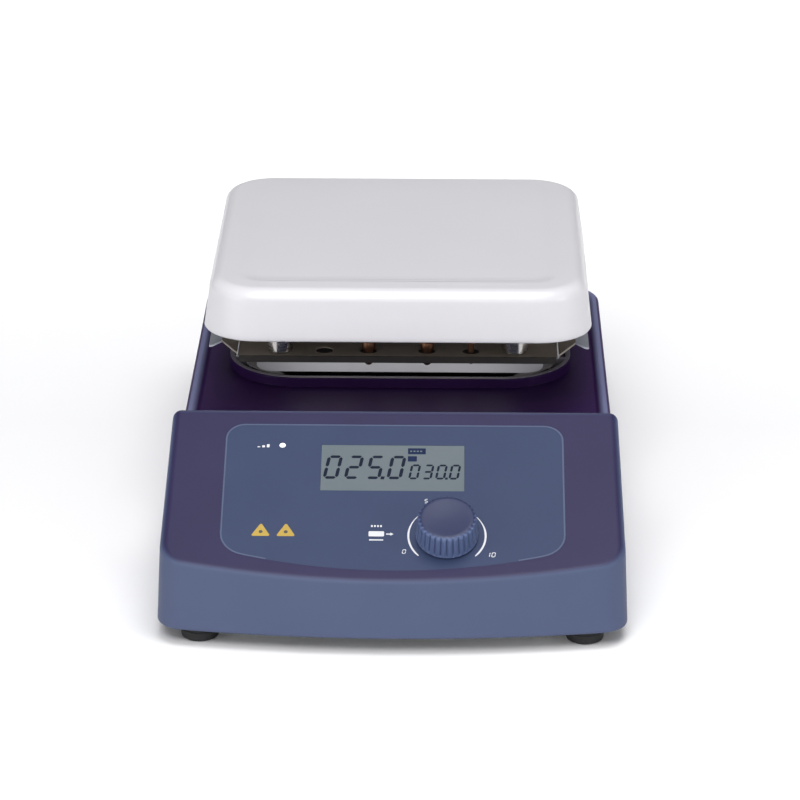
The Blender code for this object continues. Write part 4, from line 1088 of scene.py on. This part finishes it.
def lead_route(x, top):
    """Up through the shield from beneath, and down behind into the deck."""
    under, bend, rear, bottom = 75.0, 3.5, LEAD_REAR_Y, 47.5
    front_arc = [(x, LEAD_Y + bend * (1 - cos(a)), under + bend * (1 - sin(a)))
                 for a in (pi * k / 16 for k in range(9))]
    rear_arc = [(x, rear - bend * (1 - sin(a)), under - bend * (1 - cos(a)))
                for a in (pi * k / 16 for k in range(9))]
    return [(x, LEAD_Y, top), (x, LEAD_Y, 84.0), *front_arc, *rear_arc, (x, rear, bottom)]


def build_leads():
    tube("terminal_left", lead_route(LEAD_X[1], 90.6), 2.2, "copper", ("heater_lead_left",))
    tube("terminal_right", lead_route(LEAD_X[2], 90.6), 2.2, "copper", ("heater_lead_right",))
    tube("probe_lead", lead_route(LEAD_X[3], 97.0), 1.5, "copper", ("sensor_lead",))
    for side, x in (("left", LEAD_X[1]), ("right", LEAD_X[2])):
        sleeve = [(2.25, 82.0), (3.1, 82.0), (3.3, 82.4), (3.3, 85.6), (3.1, 86.0), (2.25, 86.0)]
        turned("terminal_sleeve_" + side, sleeve, "copper", at=(x, LEAD_Y, 0), segments=24)


# ---------------------------------------------------------------- rear fittings and underside

def rear_place(x):
    """On the rear wall: local +Z out of the wall, +Y up."""
    return Matrix.Translation((x, REAR_Y, REAR_Z)) @ Matrix(
        ((-1, 0, 0, 0), (0, 0, 1, 0), (0, 1, 0, 0), (0, 0, 0, 1)))


def build_rear():
    inlet = rear_place(INLET_X)
    flange = prism("inlet_frame", rectangle(15.5, -12.4, 12.4, 2.0, 6), 0.3, 1.5, "black_plastic", inlet,
                   stands_for=("mains_inlet",))
    cut(flange, block("inlet_core", (-13.9, -10.8, -27), (13.9, 10.8, 0.6), place=inlet), "UNION")
    mouth = fillet([(-11.7, -3.0, 0.8), (11.7, -3.0, 0.8), (11.7, 4.6, 0.8), (7.6, 9.3, 0.8),
                    (-7.6, 9.3, 0.8), (-11.7, 4.6, 0.8)], 4)
    cut(flange, prism("inlet_mouth", mouth, -17.0, 3.0, place=inlet))
    cut(flange, block("fuse_slot", (-11.3, -9.8, -24), (11.3, -4.2, 3.0), place=inlet))
    soften(flange, 0.4, 2, 40)
    for k, (x, y) in enumerate(((-7, 0.6), (7, 0.6), (0, 4.6))):
        block(f"inlet_pin_{k}", (x - 1, y - 2, -19), (x + 1, y + 2, -6.5), "zinc_steel", inlet, 0.6)
    drawer = block("fuse_tray", (-11.0, -9.5, -22), (11.0, -4.5, 1.5), "black_plastic", inlet,
                   body="fuse_drawer", stands_for=("fuse_drawer",))
    cut(drawer, block("fuse_pocket", (-10, -8, -20), (10, -3, -3), place=inlet))
    cut(drawer, block("fuse_grip", (-3.5, -5.4, 0.9), (3.5, -4.0, 3.0), place=inlet))
    soften(drawer, 0.3, 2, 40)

    switch = rear_place(SWITCH_X)
    body = block("switch_frame", (-7.0, -9.9, -18), (7.0, 9.9, 0.5), "black_plastic", switch,
                 stands_for=("switch_body",))
    cut(body, prism("switch_bezel", rectangle(8.2, -11.2, 11.2, 1.2, 5), 0.3, 1.5, place=switch), "UNION")
    cut(body, block("switch_well", (-5.5, -8.7, -9), (5.5, 8.7, 3), place=switch))
    soften(body, 0.35, 2, 40)
    build_rocker(switch)

    socket = rear_place(SENSOR_X)
    ring = [(9.2, 1.5), (9.5, 1.2), (9.5, 0.3), (7.9, 0.3), (7.9, -12), (0, -12), (0, -8), (6.0, -8),
            (6.0, 1.2), (6.3, 1.5)]
    turned("socket_ring", ring[5::-1] + ring[:5:-1], "black_plastic", place=socket,
           stands_for=("sensor_socket",))
    for k in range(4):
        angle = radians(45 + 90 * k)
        x, y = 3.2 * cos(angle), 3.2 * sin(angle)
        pin = [(0, -3.4), (0.35, -3.45), (0.55, -3.8), (0.55, -8.0), (0, -8.0)]
        turned(f"socket_pin_{k}", pin, "brass", at=(x, y, 0), place=socket, segments=16)


def build_rocker(switch):
    """Two faces meeting in a shallow valley, with a raised tick on one and a ring on the other."""
    tilt = Matrix.Translation((0, 0, -4.0)) @ Matrix.Rotation(radians(-8.0), 4, "X")
    stand = Matrix(((0, 0, 1, 0), (1, 0, 0, 0), (0, 1, 0, 0), (0, 0, 0, 1)))
    outline = [(-8.0, -2.0), (-2.5, -4.0), (2.5, -4.0), (8.0, -2.0), (8.0, 4.6), (4.0, 3.5), (0.0, 3.2),
               (-4.0, 3.5), (-8.0, 4.6)]
    rocker = prism("rocker_key", outline, -5.1, 5.1, "black_plastic", switch @ tilt @ stand,
                   body="rocker", stands_for=("power_rocker",))
    soften(rocker, 0.4, 3, 25)
    mark = switch @ tilt @ Matrix.Translation((0, 5.2, 3.72)) @ Matrix.Rotation(radians(14.0), 4, "X")
    block("rocker_line", (-0.3, -1.5, 0.0), (0.3, 1.5, 0.22), "print_white", mark, body="rocker")
    mark = switch @ tilt @ Matrix.Translation((0, -5.2, 3.72)) @ Matrix.Rotation(radians(-14.0), 4, "X")
    ring = [(1.5, 0.0), (1.5, 0.22), (1.0, 0.22), (1.0, 0.0)]
    turned("rocker_ring", ring, "print_white", "rocker", mark, 32)


def build_underside():
    for sx, side in ((-1, "left"), (1, "right")):
        for y, fore in zip(FOOT_Y, ("front", "rear")):
            name = f"{fore}_{side}"
            profile = [(8.5, 8.7), (8.5, 5.6), (8.15, 5.2), (8.15, 4.6), (8.5, 4.2), (8.5, 1.4), (8.2, 0.5),
                       (7.3, 0.0), (4.8, 0.0), (4.4, 0.3), (4.4, 3.2), (BORE_R, 3.2), (BORE_R, 8.7)]
            turned("rubber_" + name, profile, "rubber", at=(sx * FOOT_X, y, 0),
                   stands_for=("foot_" + name,))


# ---------------------------------------------------------------- inner pieces that keep their solids

def dress_cad_nodes():
    """Give every node its detailed finish by the name of its plain one."""
    for obj in NODES.values():
        for socket in obj.material_slots:
            socket.material = M[socket.material.name]


# ---------------------------------------------------------------- camera, light and floor

def build_camera():
    target = Vector((0, 0, 0.050))
    azimuth, elevation, roll = radians(0.91), radians(21.35), radians(0.06)
    distance = 1.720
    back = Vector((sin(azimuth) * cos(elevation), -cos(azimuth) * cos(elevation), sin(elevation)))
    right = Vector((cos(azimuth), sin(azimuth), 0))
    up = right.cross(-back)
    data = bpy.data.cameras.new("camera")
    data.sensor_width = 36.0
    data.lens = 160.0
    data.shift_x = 0.0024
    data.shift_y = 0.0041
    data.clip_end = 30.0
    camera = bpy.data.objects.new("camera", data)
    bpy.context.scene.collection.objects.link(camera)
    turn = Matrix((right, up, back)).transposed() @ Matrix.Rotation(roll, 3, "Z")
    camera.matrix_world = Matrix.Translation(target + back * distance) @ turn.to_4x4()
    bpy.context.scene.camera = camera


def area_light(name, place, aim, size, power, colour=(1.0, 1.0, 1.0), size_y=None):
    data = bpy.data.lights.new(name, "AREA")
    data.energy = power
    data.size = size
    data.color = colour
    if size_y:
        data.shape = "RECTANGLE"
        data.size_y = size_y
    light = bpy.data.objects.new(name, data)
    bpy.context.scene.collection.objects.link(light)
    light.location = place
    light.rotation_euler = (Vector(aim) - Vector(place)).to_track_quat("-Z", "Y").to_euler()


def build_studio():
    world = bpy.data.worlds.new("studio")
    bpy.context.scene.world = world
    world.use_nodes = True
    tree = world.node_tree
    way = axes(tree, "Generated")
    height = spread(tree, way[2], 0.0, 1.0, 0.0, 0.8)
    sky = mixed(tree, height, (0.04, 0.04, 0.045), (0.36, 0.36, 0.38))
    front = spread(tree, way[1], 1.0, 0.0, -0.6, 0.1)
    background = tree.nodes["Background"]
    tree.links.new(mixed(tree, front, sky, (0.42, 0.42, 0.44)), background.inputs["Color"])
    area_light("low_front", (0.0, -2.3, 0.74), (0, 0, 0.06), 1.0, 5.0, size_y=0.35)
    area_light("key", (-0.3, -1.5, 1.75), (0, 0, 0.06), 0.9, 21.0)
    area_light("overhead", (0.25, -0.35, 2.05), (0, 0.05, 0.05), 1.1, 23.0)
    area_light("side_left", (-1.6, -1.2, 0.36), (0, 0, 0.06), 0.35, 6.0)
    area_light("side_right", (1.6, -0.9, 0.55), (0, 0, 0.06), 0.35, 5.0)
    area_light("under_plate", (0, 0.056, 0.0793), (0, 0.0561, 0.05), 0.12, 0.012, size_y=0.038)
    bpy.context.scene.view_settings.view_transform = "Standard"
    side = 4.0
    verts = [(-side, -side, 0), (side, -side, 0), (side, side, 0), (-side, side, 0)]
    mesh = bpy.data.meshes.new("floor")
    mesh.from_pydata(verts, [], [(0, 1, 2, 3)])
    mesh.materials.append(M["stone_floor"])
    floor = bpy.data.objects.new("floor", mesh)
    bpy.context.scene.collection.objects.link(floor)


build_camera()
build_studio()
build_plate()
build_console()
build_panel()
build_knob()
build_housing()
build_shield()
build_tray()
build_leads()
build_rear()
build_underside()
dress_cad_nodes()
